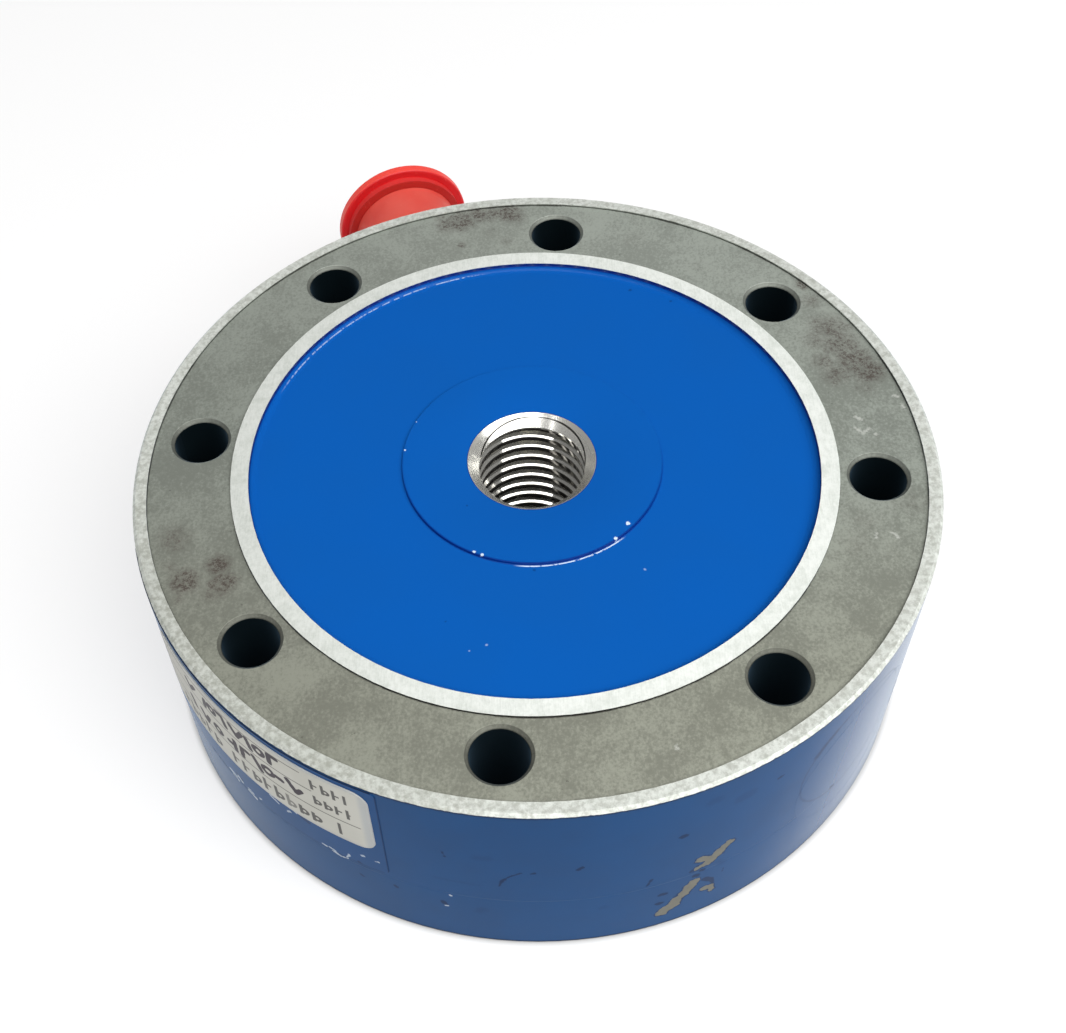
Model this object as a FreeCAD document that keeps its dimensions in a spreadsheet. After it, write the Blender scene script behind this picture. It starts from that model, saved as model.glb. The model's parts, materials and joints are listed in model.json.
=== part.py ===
import FreeCAD, Part
import math
import os
import re

import Sketcher
from FreeCAD import Placement, Rotation, Vector

# Low-profile load cell, in millimetres and degrees. The cell lies with its mounting face up: +Z is the
# load axis, the origin is on that axis in the plane the cell rests on, and +Y points along the connector.

DIMENSIONS = {
    # Outside of the flexure
    "cell_diameter": 104.65,
    "cell_height": 34.8,
    "edge_chamfer": 0.4,
    "land_height": 0.4,
    "outer_land_inside": 101.0,
    "inner_land_outside": 79.06,
    "inner_land_inside": 74.4,
    "seam_level": 12.6,
    "seam_width": 0.4,
    "seam_depth": 0.15,
    # Bolt holes and tapped hub
    "bolt_circle": 88.9,
    "bolt_hole": 7.14,
    "bolt_count": 8,
    "bolt_phase": 22.5,
    "bolt_chamfer": 0.5,
    "hub_diameter": 34.0,
    "hub_drop": 0.75,
    "tapped_bore": 16.0,
    "bore_mouth": 16.8,
    # Web cavity and its diaphragms
    "window_circle": 54.0,
    "window_diameter": 16.6,
    "diaphragm_drop": 1.1,
    "diaphragm_sheet": 0.6,
    "diaphragm_gap": 0.05,
    "ledge_width": 1.5,
    "wiring_depth": 2.6,
    # Gauges and wiring
    "gauge_height": 6.0,
    "gauge_angle": 36.0,
    "gauge_sheet": 0.12,
    "glue_line": 0.03,
    "terminal_length": 2.4,
    "terminal_width": 2.0,
    "terminal_height": 0.6,
    "loop_diameter": 62.0,
    "loop_wire": 1.2,
    "jumper_wire": 0.5,
    "lead_wire": 0.5,
    "lead_bend": 4.0,
    # Trim port in the rim
    "port_azimuth": 302.6,
    "port_diameter": 22.8,
    "port_gap": 0.1,
    "port_ledge": 49.7,
    "port_floor": 48.4,
    "port_pocket": 20.4,
    "port_passage": 4.0,
    "port_seal": 0.3,
    "board_diameter": 19.6,
    "board_sheet": 0.6,
    "resistor_length": 3.2,
    "resistor_width": 1.6,
    "resistor_height": 0.6,
    "resistor_pitch": 4.0,
    "trim_wire": 0.6,
    "trim_wire_pitch": 0.9,
    "trim_bend": 3.0,
    # Connector on its flat
    "flat_distance": 50.8,
    "flat_size": 26.0,
    "flat_corner": 3.0,
    "connector_bore": 13.5,
    "seal_sheet": 0.5,
    "flange_size": 23.8,
    "flange_corner": 2.5,
    "flange_sheet": 1.6,
    "shell_diameter": 15.0,
    "shell_bore": 12.8,
    "shell_length": 12.3,
    "shell_bevel": 0.4,
    "barrel_diameter": 12.8,
    "barrel_bore": 11.2,
    "barrel_length": 7.3,
    "stud_reach": 16.2,
    "stud_diameter": 1.9,
    "stud_setback": 4.7,
    "stud_count": 3,
    "insert_gap": 0.05,
    "insert_face": 57.0,
    "insert_back": 46.0,
    "contact_count": 5,
    "contact_circle": 6.6,
    "contact_phase": 8.0,
    "contact_diameter": 1.0,
    "contact_tip": 63.2,
    "contact_hole": 1.1,
    "cup_diameter": 1.7,
    "cup_bore": 1.0,
    "cup_length": 3.5,
    "cup_depth": 2.5,
    "screw_pitch": 18.26,
    "screw_hole": 2.9,
    "screw_tap": 2.5,
    "screw_shank": 2.4,
    "screw_depth": 6.0,
    "screw_clearance": 0.5,
    "screw_head": 4.7,
    "screw_head_height": 1.6,
    "screw_slot_width": 0.6,
    "screw_slot_depth": 0.7,
    # Dust cap
    "cap_mouth_level": 55.2,
    "cap_mouth_bore": 17.9,
    "cap_end_bore": 15.5,
    "cap_wall": 0.75,
    "cap_end_level": 69.9,
    "cap_end_sheet": 1.2,
    "cap_step_level": 69.05,
    "cap_step_diameter": 19.2,
    "cap_flange_level": 70.4,
    "cap_flange_top": 72.0,
    "cap_flange_diameter": 21.6,
    "cap_dish_diameter": 18.8,
    "cap_edge_round": 0.3,
    # Labels on the side wall
    "film_sheet": 0.1,
    "film_azimuth": 205.0,
    "film_angle": 55.2,
    "film_bottom": 13.6,
    "film_top": 33.9,
    "film_corner": 0.8,
    "sticker_sheet": 0.15,
    "sticker_azimuth": 211.2,
    "sticker_angle": 40.4,
    "sticker_bottom": 19.2,
    "sticker_top": 33.0,
    "sticker_corner": 2.2,
}

CONNECTOR_AZIMUTH = 90.0
WEB_PHASE = 22.5
WEB_PITCH = 45.0
SCREW_TURNS = (20, 75, 130, 160)
MATCH = 1e-4

doc = FreeCAD.newDocument("load_cell")
sheet = doc.addObject("Spreadsheet::Sheet", "Sizes")
for row, (alias, amount) in enumerate(DIMENSIONS.items(), start=1):
    sheet.set(f"A{row}", alias)
    sheet.set(f"B{row}", str(amount))
    sheet.setAlias(f"B{row}", alias)
doc.recompute()


# Expressions, sketches and features

def sized(text):
    """The expression with each dimension read from the sheet."""
    def from_sheet(word):
        return f"Sizes.{word[0]}" if word[0] in DIMENSIONS else word[0]
    return re.sub("[a-z_]+", from_sheet, text)


def amount_of(text):
    """The present value of an expression."""
    return float(sheet.evalExpression(sized(text)))


def bind(feature, **sizes):
    """Ties a feature's properties to expressions on the sheet."""
    for name, text in sizes.items():
        feature.setExpression(name, sized(text))


def polar(radius, azimuth, level=0.0):
    """A point given by its distance from the load axis, its azimuth and its level."""
    angle = math.radians(azimuth)
    return Vector(radius * math.cos(angle), radius * math.sin(angle), level)


def turned(azimuth):
    return Rotation(Vector(0, 0, 1), azimuth)


def outward(azimuth):
    """Placement at mid-height whose own +Z points away from the load axis and whose +Y points up."""
    return Placement(Vector(0, 0, amount_of("cell_height / 2")),
                     turned(azimuth - 90) * Rotation(Vector(0, 1, 1), 180))


def new_body(label, placement=Placement()):
    body = doc.addObject("PartDesign::Body", label)
    body.Placement = placement
    return body


def origin_item(body, role):
    return next(item for item in body.Origin.OriginFeatures if item.Role == role)


def sketch_on(body, name, role, level=None):
    """A sketch on one of the body's own planes, lifted off it by an expression."""
    sketch = body.newObject("Sketcher::SketchObject", name)
    sketch.AttachmentSupport = (origin_item(body, role), "")
    sketch.MapMode = "FlatFace"
    if level:
        sketch.setExpression("AttachmentOffset.Base.z", sized(level))
    return sketch


def sketch_facing_in(body, name, azimuth, distance):
    """A sketch that stands upright at a distance from the load axis, with its origin at mid-height."""
    sketch = sketch_on(body, name, "XZ_Plane")
    turn = Rotation(Vector(0, 1, 0), azimuth - 90)
    base = turn.multVec(Vector(0, 0, -amount_of(distance)))
    sketch.AttachmentOffset = Placement(base + Vector(0, amount_of("cell_height / 2"), 0), turn)
    return sketch


def hold_point(sketch, item, end, across, along):
    """Holds a sketch point at two distances from the sketch's origin."""
    for kind, text in (("DistanceX", across), ("DistanceY", along)):
        index = sketch.addConstraint(Sketcher.Constraint(kind, -1, 1, item, end, amount_of(text)))
        sketch.setExpression(f"Constraints[{index}]", sized(text))


def draw_outline(sketch, corners):
    """A closed outline of straight lines through corners given as pairs of expressions."""
    points = [Vector(amount_of(across), amount_of(along), 0) for across, along in corners]
    first = sketch.GeometryCount
    for start, end in zip(points, points[1:] + points[:1]):
        sketch.addGeometry(Part.LineSegment(start, end))
    for index, corner in enumerate(corners):
        following = (index + 1) % len(corners)
        sketch.addConstraint(Sketcher.Constraint("Coincident", first + index, 2, first + following, 1))
        hold_point(sketch, first + index, 1, *corner)


def draw_circle(sketch, radius, across="0", along="0"):
    center = Vector(amount_of(across), amount_of(along), 0)
    item = sketch.addGeometry(Part.Circle(center, Vector(0, 0, 1), amount_of(radius)))
    hold_point(sketch, item, 3, across, along)
    index = sketch.addConstraint(Sketcher.Constraint("Radius", item, amount_of(radius)))
    sketch.setExpression(f"Constraints[{index}]", sized(radius))


def draw_square(sketch, size):
    half = f"({size}) / 2"
    draw_outline(sketch, [(f"-{half}", f"-{half}"), (half, f"-{half}"), (half, half), (f"-{half}", half)])


def revolve(body, name, corners):
    """A solid of revolution about the body's own Z axis."""
    sketch = sketch_on(body, f"{name}_profile", "XZ_Plane")
    draw_outline(sketch, corners)
    feature = body.newObject("PartDesign::Revolution", name)
    feature.Profile = sketch
    feature.ReferenceAxis = (sketch, ["V_Axis"])
    feature.Angle = 360
    return feature


def pad(body, name, sketch, length):
    feature = body.newObject("PartDesign::Pad", name)
    feature.Profile = sketch
    bind(feature, Length=length)
    return feature


def cut_through(body, name, sketch, along_normal=False):
    feature = body.newObject("PartDesign::Pocket", name)
    feature.Profile = sketch
    feature.Type = "ThroughAll"
    feature.Reversed = along_normal
    return feature


def repeat_around(body, name, feature, count):
    """Repeats a feature round the body's own Z axis."""
    pattern = body.newObject("PartDesign::PolarPattern", name)
    pattern.Originals = [feature]
    pattern.Axis = (origin_item(body, "Z_Axis"), [""])
    pattern.Angle = 360
    bind(pattern, Occurrences=count)
    body.Tip = pattern
    return pattern


def circle_edges(feature, diameter, levels):
    """Names of the feature's full circles of a diameter at some levels of its own Z axis."""
    radius = amount_of(diameter) / 2
    heights = [amount_of(level) for level in levels]
    names = []
    for index, edge in enumerate(feature.Shape.Edges, start=1):
        if not isinstance(edge.Curve, Part.Circle) or abs(edge.Curve.Radius - radius) > MATCH:
            continue
        if any(abs(edge.Curve.Center.z - height) < MATCH for height in heights):
            names.append(f"Edge{index}")
    return names


def upright_edges(feature, half_size):
    """Names of the four straight edges along the feature's own Z axis at the corners of a square."""
    reach = amount_of(half_size)
    names = []
    for index, edge in enumerate(feature.Shape.Edges, start=1):
        middle = edge.CenterOfMass
        if abs(abs(middle.x) - reach) < MATCH and abs(abs(middle.y) - reach) < MATCH:
            names.append(f"Edge{index}")
    return names


def dress(body, kind, name, feature, edges, **sizes):
    """A fillet or chamfer on named edges of the body's last feature."""
    dressed = body.newObject(f"PartDesign::{kind}", name)
    dressed.Base = (feature, edges)
    bind(dressed, **sizes)
    return dressed


def primitive(kind, name, placement=Placement(), **sizes):
    """A Part primitive or boolean whose sizes are expressions."""
    feature = doc.addObject(f"Part::{kind}", name)
    feature.Placement = placement
    bind(feature, **sizes)
    return feature


def boolean(kind, name, base, tool):
    feature = doc.addObject(f"Part::{kind}", name)
    feature.Base = base
    feature.Tool = tool
    return feature


def group(label, base, placements):
    """One sub-part made of separate, identical solids."""
    copies = []
    for index, placement in enumerate(placements, start=1):
        copy = doc.addObject("App::Link", f"{base.Name}_{index}")
        copy.LinkedObject = base
        copy.Placement = placement
        copies.append(copy)
    compound = doc.addObject("Part::Compound", label)
    compound.Links = copies
    return compound


def bent_wire(start, corner, end, bend, diameter):
    """A round wire from start to end with one tangent bend at the corner."""
    inward = (start - corner).normalize()
    onward = (end - corner).normalize()
    first = corner + inward * bend
    last = corner + onward * bend
    middle = corner + (inward + onward) * bend * (1 - math.sqrt(0.5))
    path = Part.Wire([Part.LineSegment(start, first).toShape(),
                      Part.Arc(first, middle, last).toShape(),
                      Part.LineSegment(last, end).toShape()])
    section = Part.Wire([Part.Circle(start, inward, diameter / 2).toShape()])
    return path.makePipeShell([section], True, True)


def wire_group(label, wires):
    """One sub-part made of separate bent wires."""
    feature = doc.addObject("Part::Feature", label)
    feature.Shape = Part.makeCompound(wires)
    feature.Placement = Placement()
    return feature


# Levels and radii that several pieces share

RIM = "cell_diameter / 2"
HUB = "hub_diameter / 2"
SEAT = "inner_land_inside / 2"
HUB_LEVEL = "cell_height - hub_drop"
UPPER_LEDGE = "cell_height - diaphragm_drop - diaphragm_sheet"
LOWER_LEDGE = "diaphragm_drop + diaphragm_sheet"
WEB_TOP = f"{UPPER_LEDGE} - wiring_depth"
WEB_BOTTOM = f"{LOWER_LEDGE} + wiring_depth"
MOUTH_DEPTH = "(bore_mouth - tapped_bore) / 2"
BOLT_FACE = "cell_height - land_height"
FLANGE_BACK = "flat_distance + seal_sheet"
FLANGE_FRONT = f"{FLANGE_BACK} + flange_sheet"
SHELL_END = f"{FLANGE_FRONT} + shell_length"


# Flexure and diaphragms

def half_section():
    """Half section of the turned flexure: bore, hub, web, rim with its lands, and side wall."""
    bore = "tapped_bore / 2"
    mouth = "bore_mouth / 2"
    hub_ledge = f"{HUB} + ledge_width"
    rim_ledge = f"{SEAT} - ledge_width"
    inner_land = "inner_land_outside / 2"
    outer_land = "outer_land_inside / 2"
    return [
        (mouth, "0"), (bore, MOUTH_DEPTH), (bore, f"{HUB_LEVEL} - {MOUTH_DEPTH}"), (mouth, HUB_LEVEL),
        (HUB, HUB_LEVEL), (HUB, UPPER_LEDGE), (hub_ledge, UPPER_LEDGE), (hub_ledge, WEB_TOP),
        (rim_ledge, WEB_TOP), (rim_ledge, UPPER_LEDGE), (SEAT, UPPER_LEDGE), (SEAT, "cell_height"),
        (inner_land, "cell_height"), (inner_land, BOLT_FACE), (outer_land, BOLT_FACE),
        (outer_land, "cell_height"), (f"{RIM} - edge_chamfer", "cell_height"),
        (RIM, "cell_height - edge_chamfer"), (RIM, "seam_level + seam_width / 2"),
        (f"{RIM} - seam_depth", "seam_level"), (RIM, "seam_level - seam_width / 2"),
        (RIM, "edge_chamfer"), (f"{RIM} - edge_chamfer", "0"), (SEAT, "0"), (SEAT, LOWER_LEDGE),
        (rim_ledge, LOWER_LEDGE), (rim_ledge, WEB_BOTTOM), (hub_ledge, WEB_BOTTOM),
        (hub_ledge, LOWER_LEDGE), (HUB, LOWER_LEDGE), (HUB, "0"),
    ]


def cut_connector_seat(body):
    """Flat for the connector, the bore behind it and the tapped holes of its flange."""
    flat = sketch_facing_in(body, "flat_sketch", CONNECTOR_AZIMUTH, "flat_distance")
    draw_square(flat, "flat_size")
    cut_through(body, "connector_flat", flat)
    bore = sketch_facing_in(body, "connector_bore_sketch", CONNECTOR_AZIMUTH, "window_circle / 2")
    draw_circle(bore, "connector_bore / 2")
    cut_through(body, "connector_hole", bore)
    taps = sketch_facing_in(body, "screw_tap_sketch", CONNECTOR_AZIMUTH, "flat_distance - screw_depth")
    for across in ("-screw_pitch / 2", "screw_pitch / 2"):
        for along in ("-screw_pitch / 2", "screw_pitch / 2"):
            draw_circle(taps, "screw_tap / 2", across, along)
    cut_through(body, "screw_taps", taps)


def cut_trim_port(body):
    """Stepped round pocket in the rim for the trimming circuit, with a passage to the web cavity."""
    steps = (("port_seat", "port_ledge", "port_diameter / 2"),
             ("port_well", "port_floor", "port_pocket / 2"),
             ("port_duct", "window_circle / 2", "port_passage / 2"))
    for name, distance, radius in steps:
        sketch = sketch_facing_in(body, f"{name}_sketch", amount_of("port_azimuth"), distance)
        draw_circle(sketch, radius)
        cut_through(body, name, sketch)


def flexure_body():
    """Rim, hub and eight waisted radial webs in one piece: the windows between the webs are bored."""
    body = new_body("flexure_body")
    revolve(body, "turned_blank", half_section())
    window = sketch_on(body, "window_sketch", "XY_Plane")
    draw_circle(window, "window_diameter / 2", "0", "window_circle / 2")
    repeat_around(body, "windows", cut_through(body, "window", window, True), "bolt_count")
    hole = sketch_on(body, "bolt_sketch", "XY_Plane")
    draw_circle(hole, "bolt_hole / 2", "bolt_circle / 2 * cos(bolt_phase * 1 deg)",
                "bolt_circle / 2 * sin(bolt_phase * 1 deg)")
    holes = repeat_around(body, "bolt_holes", cut_through(body, "bolt_hole", hole, True), "bolt_count")
    doc.recompute()
    mouths = circle_edges(holes, "bolt_hole", ["0", BOLT_FACE])
    dress(body, "Chamfer", "bolt_mouths", holes, mouths, Size="bolt_chamfer")
    cut_connector_seat(body)
    cut_trim_port(body)
    return body


def diaphragm(label, level):
    """Thin annular sheet between the hub and the rim, on a ledge of each."""
    body = new_body(label)
    sketch = sketch_on(body, f"{label}_sketch", "XY_Plane", level)
    draw_circle(sketch, f"{SEAT} - diaphragm_gap")
    draw_circle(sketch, f"{HUB} + diaphragm_gap")
    pad(body, f"{label}_sheet", sketch, "diaphragm_sheet")
    return body


# Gauges and wiring

def strain_gauges():
    """Foil gauges glued to both necks of every second window."""
    skin = "window_diameter / 2 - glue_line"
    face = primitive("Cylinder", "gauge_face", Radius=skin, Height="gauge_height", Angle="gauge_angle")
    core = primitive("Cylinder", "gauge_core", Radius=f"{skin} - gauge_sheet", Height="gauge_height")
    gauge = boolean("Cut", "gauge", face, core)
    level = amount_of("(cell_height - gauge_height) / 2")
    neck = 90 + WEB_PHASE
    places = []
    for azimuth in range(0, 360, 90):
        center = polar(amount_of("window_circle / 2"), azimuth, level)
        for side in (-neck, neck):
            places.append(Placement(center, turned(azimuth + side - amount_of("gauge_angle / 2"))))
    return group("strain_gauges", gauge, places)


def web_azimuths():
    return [WEB_PHASE + WEB_PITCH * index for index in range(int(amount_of("bolt_count")))]


def gauge_terminals():
    """Solder tabs on the necks of the webs."""
    tab = primitive("Box", "terminal", Length="terminal_length", Width="terminal_width",
                    Height="terminal_height")
    corner = Vector(amount_of("(window_circle - terminal_length) / 2"), -amount_of("terminal_width / 2"),
                    amount_of(WEB_TOP))
    return group("gauge_terminals", tab,
                 [Placement(turned(azimuth).multVec(corner), turned(azimuth)) for azimuth in web_azimuths()])


def bridge_wiring():
    """Wire loop that lies on the webs, with a jumper to each terminal."""
    level = amount_of(f"{WEB_TOP} + loop_wire / 2")
    loop = primitive("Torus", "wire_loop", Placement(Vector(0, 0, level), Rotation()),
                     Radius1="loop_diameter / 2", Radius2="loop_wire / 2")
    jumper = primitive("Cylinder", "jumper", Radius="jumper_wire / 2",
                       Height="(loop_diameter - window_circle - terminal_length) / 2")
    start = Vector(amount_of("(window_circle + terminal_length) / 2"), 0,
                   amount_of(f"{WEB_TOP} + terminal_height / 2"))
    flat = Rotation(Vector(0, 1, 0), 90)
    jumpers = group("jumpers", jumper, [Placement(turned(azimuth).multVec(start), turned(azimuth) * flat)
                                        for azimuth in web_azimuths()])
    return boolean("Fuse", "bridge_wiring", loop, jumpers)


def contact_places():
    """Places of the contacts on the connector's face: one in the middle and the rest on a circle."""
    count = int(amount_of("contact_count"))
    ring = [polar(amount_of("contact_circle / 2"), amount_of("contact_phase") + 360 * index / count)
            for index in range(count)]
    return [Vector(0, 0, 0)] + ring


def connector_leads():
    """Leads from the solder cups through the connector bore and up to the wire loop."""
    loop = amount_of("loop_diameter / 2")
    far = amount_of("insert_back - cup_length / 2")
    wires = []
    for place in contact_places():
        start = outward(CONNECTOR_AZIMUTH).multVec(Vector(place.x, place.y, far))
        corner = Vector(start.x, math.sqrt(loop ** 2 - start.x ** 2), start.z)
        end = Vector(corner.x, corner.y, amount_of(WEB_TOP))
        wires.append(bent_wire(start, corner, end, amount_of("lead_bend"), amount_of("lead_wire")))
    return wire_group("connector_leads", wires)


# Trim port

def port_place():
    return outward(amount_of("port_azimuth"))


def trim_board():
    body = new_body("trim_board", port_place())
    sketch = sketch_on(body, "board_sketch", "XY_Plane", "port_floor")
    draw_circle(sketch, "board_diameter / 2")
    pad(body, "board", sketch, "board_sheet")
    return body


def trim_resistors():
    chip = primitive("Box", "resistor", Length="resistor_length", Width="resistor_width",
                     Height="resistor_height")
    pitch = amount_of("resistor_pitch")
    corner = Vector(-amount_of("resistor_length / 2"), -amount_of("resistor_width / 2"),
                    amount_of("port_floor + board_sheet"))
    rows = [Placement(corner + Vector(0, pitch * row, 0), Rotation()) for row in (-1, 0, 1)]
    return group("trim_resistors", chip, [port_place() * row for row in rows])


def trim_leads():
    """Leads from the trim board through the passage and up to the wire loop."""
    loop = amount_of("loop_diameter / 2")
    rise = amount_of(f"{WEB_TOP} - cell_height / 2")
    wires = []
    for side in (-0.5, 0.5):
        across = side * amount_of("trim_wire_pitch")
        depth = math.sqrt(loop ** 2 - across ** 2)
        points = (Vector(across, 0, amount_of("port_floor")), Vector(across, 0, depth),
                  Vector(across, rise, depth))
        start, corner, end = (port_place().multVec(point) for point in points)
        wires.append(bent_wire(start, corner, end, amount_of("trim_bend"), amount_of("trim_wire")))
    return wire_group("trim_leads", wires)


def port_gasket():
    body = new_body("port_gasket", port_place())
    sketch = sketch_on(body, "port_gasket_sketch", "XY_Plane", "port_ledge")
    draw_circle(sketch, "port_diameter / 2 - port_gap")
    draw_circle(sketch, "port_pocket / 2")
    pad(body, "port_gasket_ring", sketch, "port_seal")
    return body


def port_plug():
    """Round plug whose outer face follows the side wall."""
    start = port_place().multVec(Vector(0, 0, amount_of("port_ledge + port_seal")))
    stem = primitive("Cylinder", "plug_stem", Placement(start, port_place().Rotation),
                     Radius="port_diameter / 2 - port_gap", Height="cell_diameter / 2")
    wall = primitive("Cylinder", "plug_wall", Radius=RIM, Height="cell_height")
    return boolean("Common", "port_plug", stem, wall)


# Connector

def corner_places():
    """Places of the flange screws, seen along the connector."""
    half = amount_of("screw_pitch / 2")
    return [Vector(across * half, along * half, 0) for across in (-1, 1) for along in (-1, 1)]


def square_with_holes(body, name, level, sheet_size):
    """Square sheet with rounded corners, four screw holes and a central hole for the barrel."""
    sketch = sketch_on(body, f"{name}_sketch", "XY_Plane", level)
    draw_square(sketch, "flange_size")
    plate = pad(body, f"{name}_plate", sketch, sheet_size)
    doc.recompute()
    corners = upright_edges(plate, "flange_size / 2")
    dress(body, "Fillet", f"{name}_corners", plate, corners, Radius="flange_corner")
    holes = sketch_on(body, f"{name}_hole_sketch", "XY_Plane")
    for across in ("-screw_pitch / 2", "screw_pitch / 2"):
        for along in ("-screw_pitch / 2", "screw_pitch / 2"):
            draw_circle(holes, "screw_hole / 2", across, along)
    draw_circle(holes, "barrel_diameter / 2")
    return cut_through(body, f"{name}_holes", holes, True)


def connector_gasket():
    body = new_body("connector_gasket", outward(CONNECTOR_AZIMUTH))
    square_with_holes(body, "seal", "flat_distance", "seal_sheet")
    return body


def connector_shell():
    """Receptacle shell: square flange, rear barrel, open front with three bayonet studs."""
    body = new_body("connector_shell", outward(CONNECTOR_AZIMUTH))
    square_with_holes(body, "flange", FLANGE_BACK, "flange_sheet")
    outside = "shell_diameter / 2"
    bore = "shell_bore / 2"
    step = f"{FLANGE_BACK} + flange_sheet / 2"
    revolve(body, "shell_tube", [
        ("barrel_bore / 2", f"{FLANGE_BACK} - barrel_length"),
        ("barrel_diameter / 2", f"{FLANGE_BACK} - barrel_length"),
        ("barrel_diameter / 2", FLANGE_BACK), (outside, FLANGE_BACK),
        (outside, f"{SHELL_END} - shell_bevel"), (f"{outside} - shell_bevel", SHELL_END),
        (bore, SHELL_END), (bore, step), ("barrel_bore / 2", step),
    ])
    stud = sketch_on(body, "stud_sketch", "XZ_Plane")
    draw_circle(stud, "stud_diameter / 2", "0", f"{SHELL_END} - stud_setback")
    reach = pad(body, "stud", stud, "stud_reach / 2")
    repeat_around(body, "studs", reach, "stud_count")
    clear = sketch_on(body, "socket_sketch", "XY_Plane", step)
    draw_circle(clear, bore)
    cut_through(body, "socket", clear, True)
    return body


def connector_insert():
    """Stepped insulator with a hole for each contact."""
    body = new_body("connector_insert", outward(CONNECTOR_AZIMUTH))
    wide = "shell_bore / 2 - insert_gap"
    narrow = "barrel_bore / 2 - insert_gap"
    step = f"{FLANGE_BACK} + flange_sheet / 2"
    revolve(body, "insulator", [
        ("0", "insert_back"), (narrow, "insert_back"), (narrow, step), (wide, step),
        (wide, "insert_face"), ("0", "insert_face"),
    ])
    holes = sketch_on(body, "contact_hole_sketch", "XY_Plane")
    draw_circle(holes, "contact_hole / 2")
    for index in range(int(amount_of("contact_count"))):
        turn = f"(contact_phase + {index} * 360 / contact_count) * 1 deg"
        draw_circle(holes, "contact_hole / 2", f"contact_circle / 2 * cos({turn})",
                    f"contact_circle / 2 * sin({turn})")
    cut_through(body, "contact_holes", holes, True)
    return body


def connector_pins():
    """Round contacts with a solder cup behind the insulator."""
    contact = primitive("Cylinder", "contact", Radius="contact_diameter / 2",
                        Height="contact_tip - insert_back")
    cup_start = Placement(Vector(0, 0, -amount_of("cup_length")), Rotation())
    cup = primitive("Cylinder", "cup", cup_start, Radius="cup_diameter / 2", Height="cup_length")
    cup_hole = primitive("Cylinder", "cup_hole", cup_start, Radius="cup_bore / 2", Height="cup_depth")
    pin = boolean("Fuse", "pin", contact, boolean("Cut", "solder_cup", cup, cup_hole))
    back = Vector(0, 0, amount_of("insert_back"))
    return group("connector_pins", pin, [outward(CONNECTOR_AZIMUTH) * Placement(place + back, Rotation())
                                         for place in contact_places()])


def flange_screws():
    """Slotted cheese-head screws that hold the connector on its flat."""
    head = primitive("Cylinder", "screw_head", Radius="screw_head / 2", Height="screw_head_height")
    corner = Vector(-amount_of("screw_head / 2"), -amount_of("screw_slot_width / 2"),
                    amount_of("screw_head_height - screw_slot_depth"))
    slot = primitive("Box", "screw_slot", Placement(corner, Rotation()), Length="screw_head",
                     Width="screw_slot_width", Height="screw_slot_depth")
    reach = "seal_sheet + flange_sheet + screw_depth - screw_clearance"
    shank = primitive("Cylinder", "screw_shank", Placement(Vector(0, 0, -amount_of(reach)), Rotation()),
                      Radius="screw_shank / 2", Height=reach)
    screw = boolean("Fuse", "screw", boolean("Cut", "slotted_head", head, slot), shank)
    front = Vector(0, 0, amount_of(FLANGE_FRONT))
    return group("flange_screws", screw, [outward(CONNECTOR_AZIMUTH) * Placement(place + front, turned(turn))
                                          for place, turn in zip(corner_places(), SCREW_TURNS)])


def dust_cap():
    """Tapered push-on cap with a stepped, flanged and dished end."""
    body = new_body("dust_cap", outward(CONNECTOR_AZIMUTH))
    neck = "cap_end_bore / 2 + cap_wall"
    step = "cap_step_diameter / 2"
    flange = "cap_flange_diameter / 2"
    dish = "cap_dish_diameter / 2"
    end = "cap_end_level + cap_end_sheet"
    cap = revolve(body, "cap_moulding", [
        ("cap_mouth_bore / 2", "cap_mouth_level"), ("cap_mouth_bore / 2 + cap_wall", "cap_mouth_level"),
        (neck, "cap_step_level"), (step, "cap_step_level"), (step, "cap_flange_level"),
        (flange, "cap_flange_level"), (flange, "cap_flange_top"), (dish, "cap_flange_top"),
        (dish, end), ("0", end), ("0", "cap_end_level"), ("cap_end_bore / 2", "cap_end_level"),
    ])
    doc.recompute()
    rim = circle_edges(cap, "cap_flange_diameter", ["cap_flange_level", "cap_flange_top"])
    dress(body, "Fillet", "cap_rim", cap, rim, Radius="cap_edge_round")
    return body


# Labels on the side wall

def wall_label(name, inside, thickness):
    """Thin rounded rectangle that follows the side wall."""
    azimuth = amount_of(f"{name}_azimuth")
    outer = primitive("Cylinder", f"{name}_outer", Radius=f"{inside} + {thickness}", Height="cell_height")
    inner = primitive("Cylinder", f"{name}_inner", Radius=inside, Height="cell_height")
    skin = boolean("Cut", f"{name}_skin", outer, inner)
    width = f"2 * ({inside}) * sin({name}_angle / 2 * 1 deg)"
    corner = Vector(amount_of("cell_diameter / 4"), -amount_of(width) / 2, amount_of(f"{name}_bottom"))
    block = primitive("Box", f"{name}_block", Placement(turned(azimuth).multVec(corner), turned(azimuth)),
                      Length="cell_diameter / 2", Width=width, Height=f"{name}_top - {name}_bottom")
    doc.recompute()
    radius = amount_of(f"{name}_corner")
    along = [index for index, edge in enumerate(block.Shape.Edges, start=1)
             if abs(edge.Length - amount_of("cell_diameter / 2")) < MATCH]
    rounded = doc.addObject("Part::Fillet", f"{name}_rounded")
    rounded.Base = block
    rounded.Edges = [(index, radius, radius) for index in along]
    return skin, rounded


def nameplate_film():
    return boolean("Common", "nameplate_film", *wall_label("film", RIM, "film_sheet"))


def calibration_sticker():
    inside = f"{RIM} + film_sheet"
    return boolean("Common", "calibration_sticker", *wall_label("sticker", inside, "sticker_sheet"))


# Building, checking and writing

def check_document():
    """Stops if any object failed, or if a pocket left the solid as it was."""
    for item in doc.Objects:
        if {"Invalid", "Error"} & set(item.State):
            raise RuntimeError(f"{item.Label} failed: {item.State}")
        if item.TypeId == "PartDesign::Pocket" and item.Shape.Volume > item.BaseFeature.Shape.Volume - MATCH:
            raise RuntimeError(f"{item.Label} cut nothing")


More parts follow.
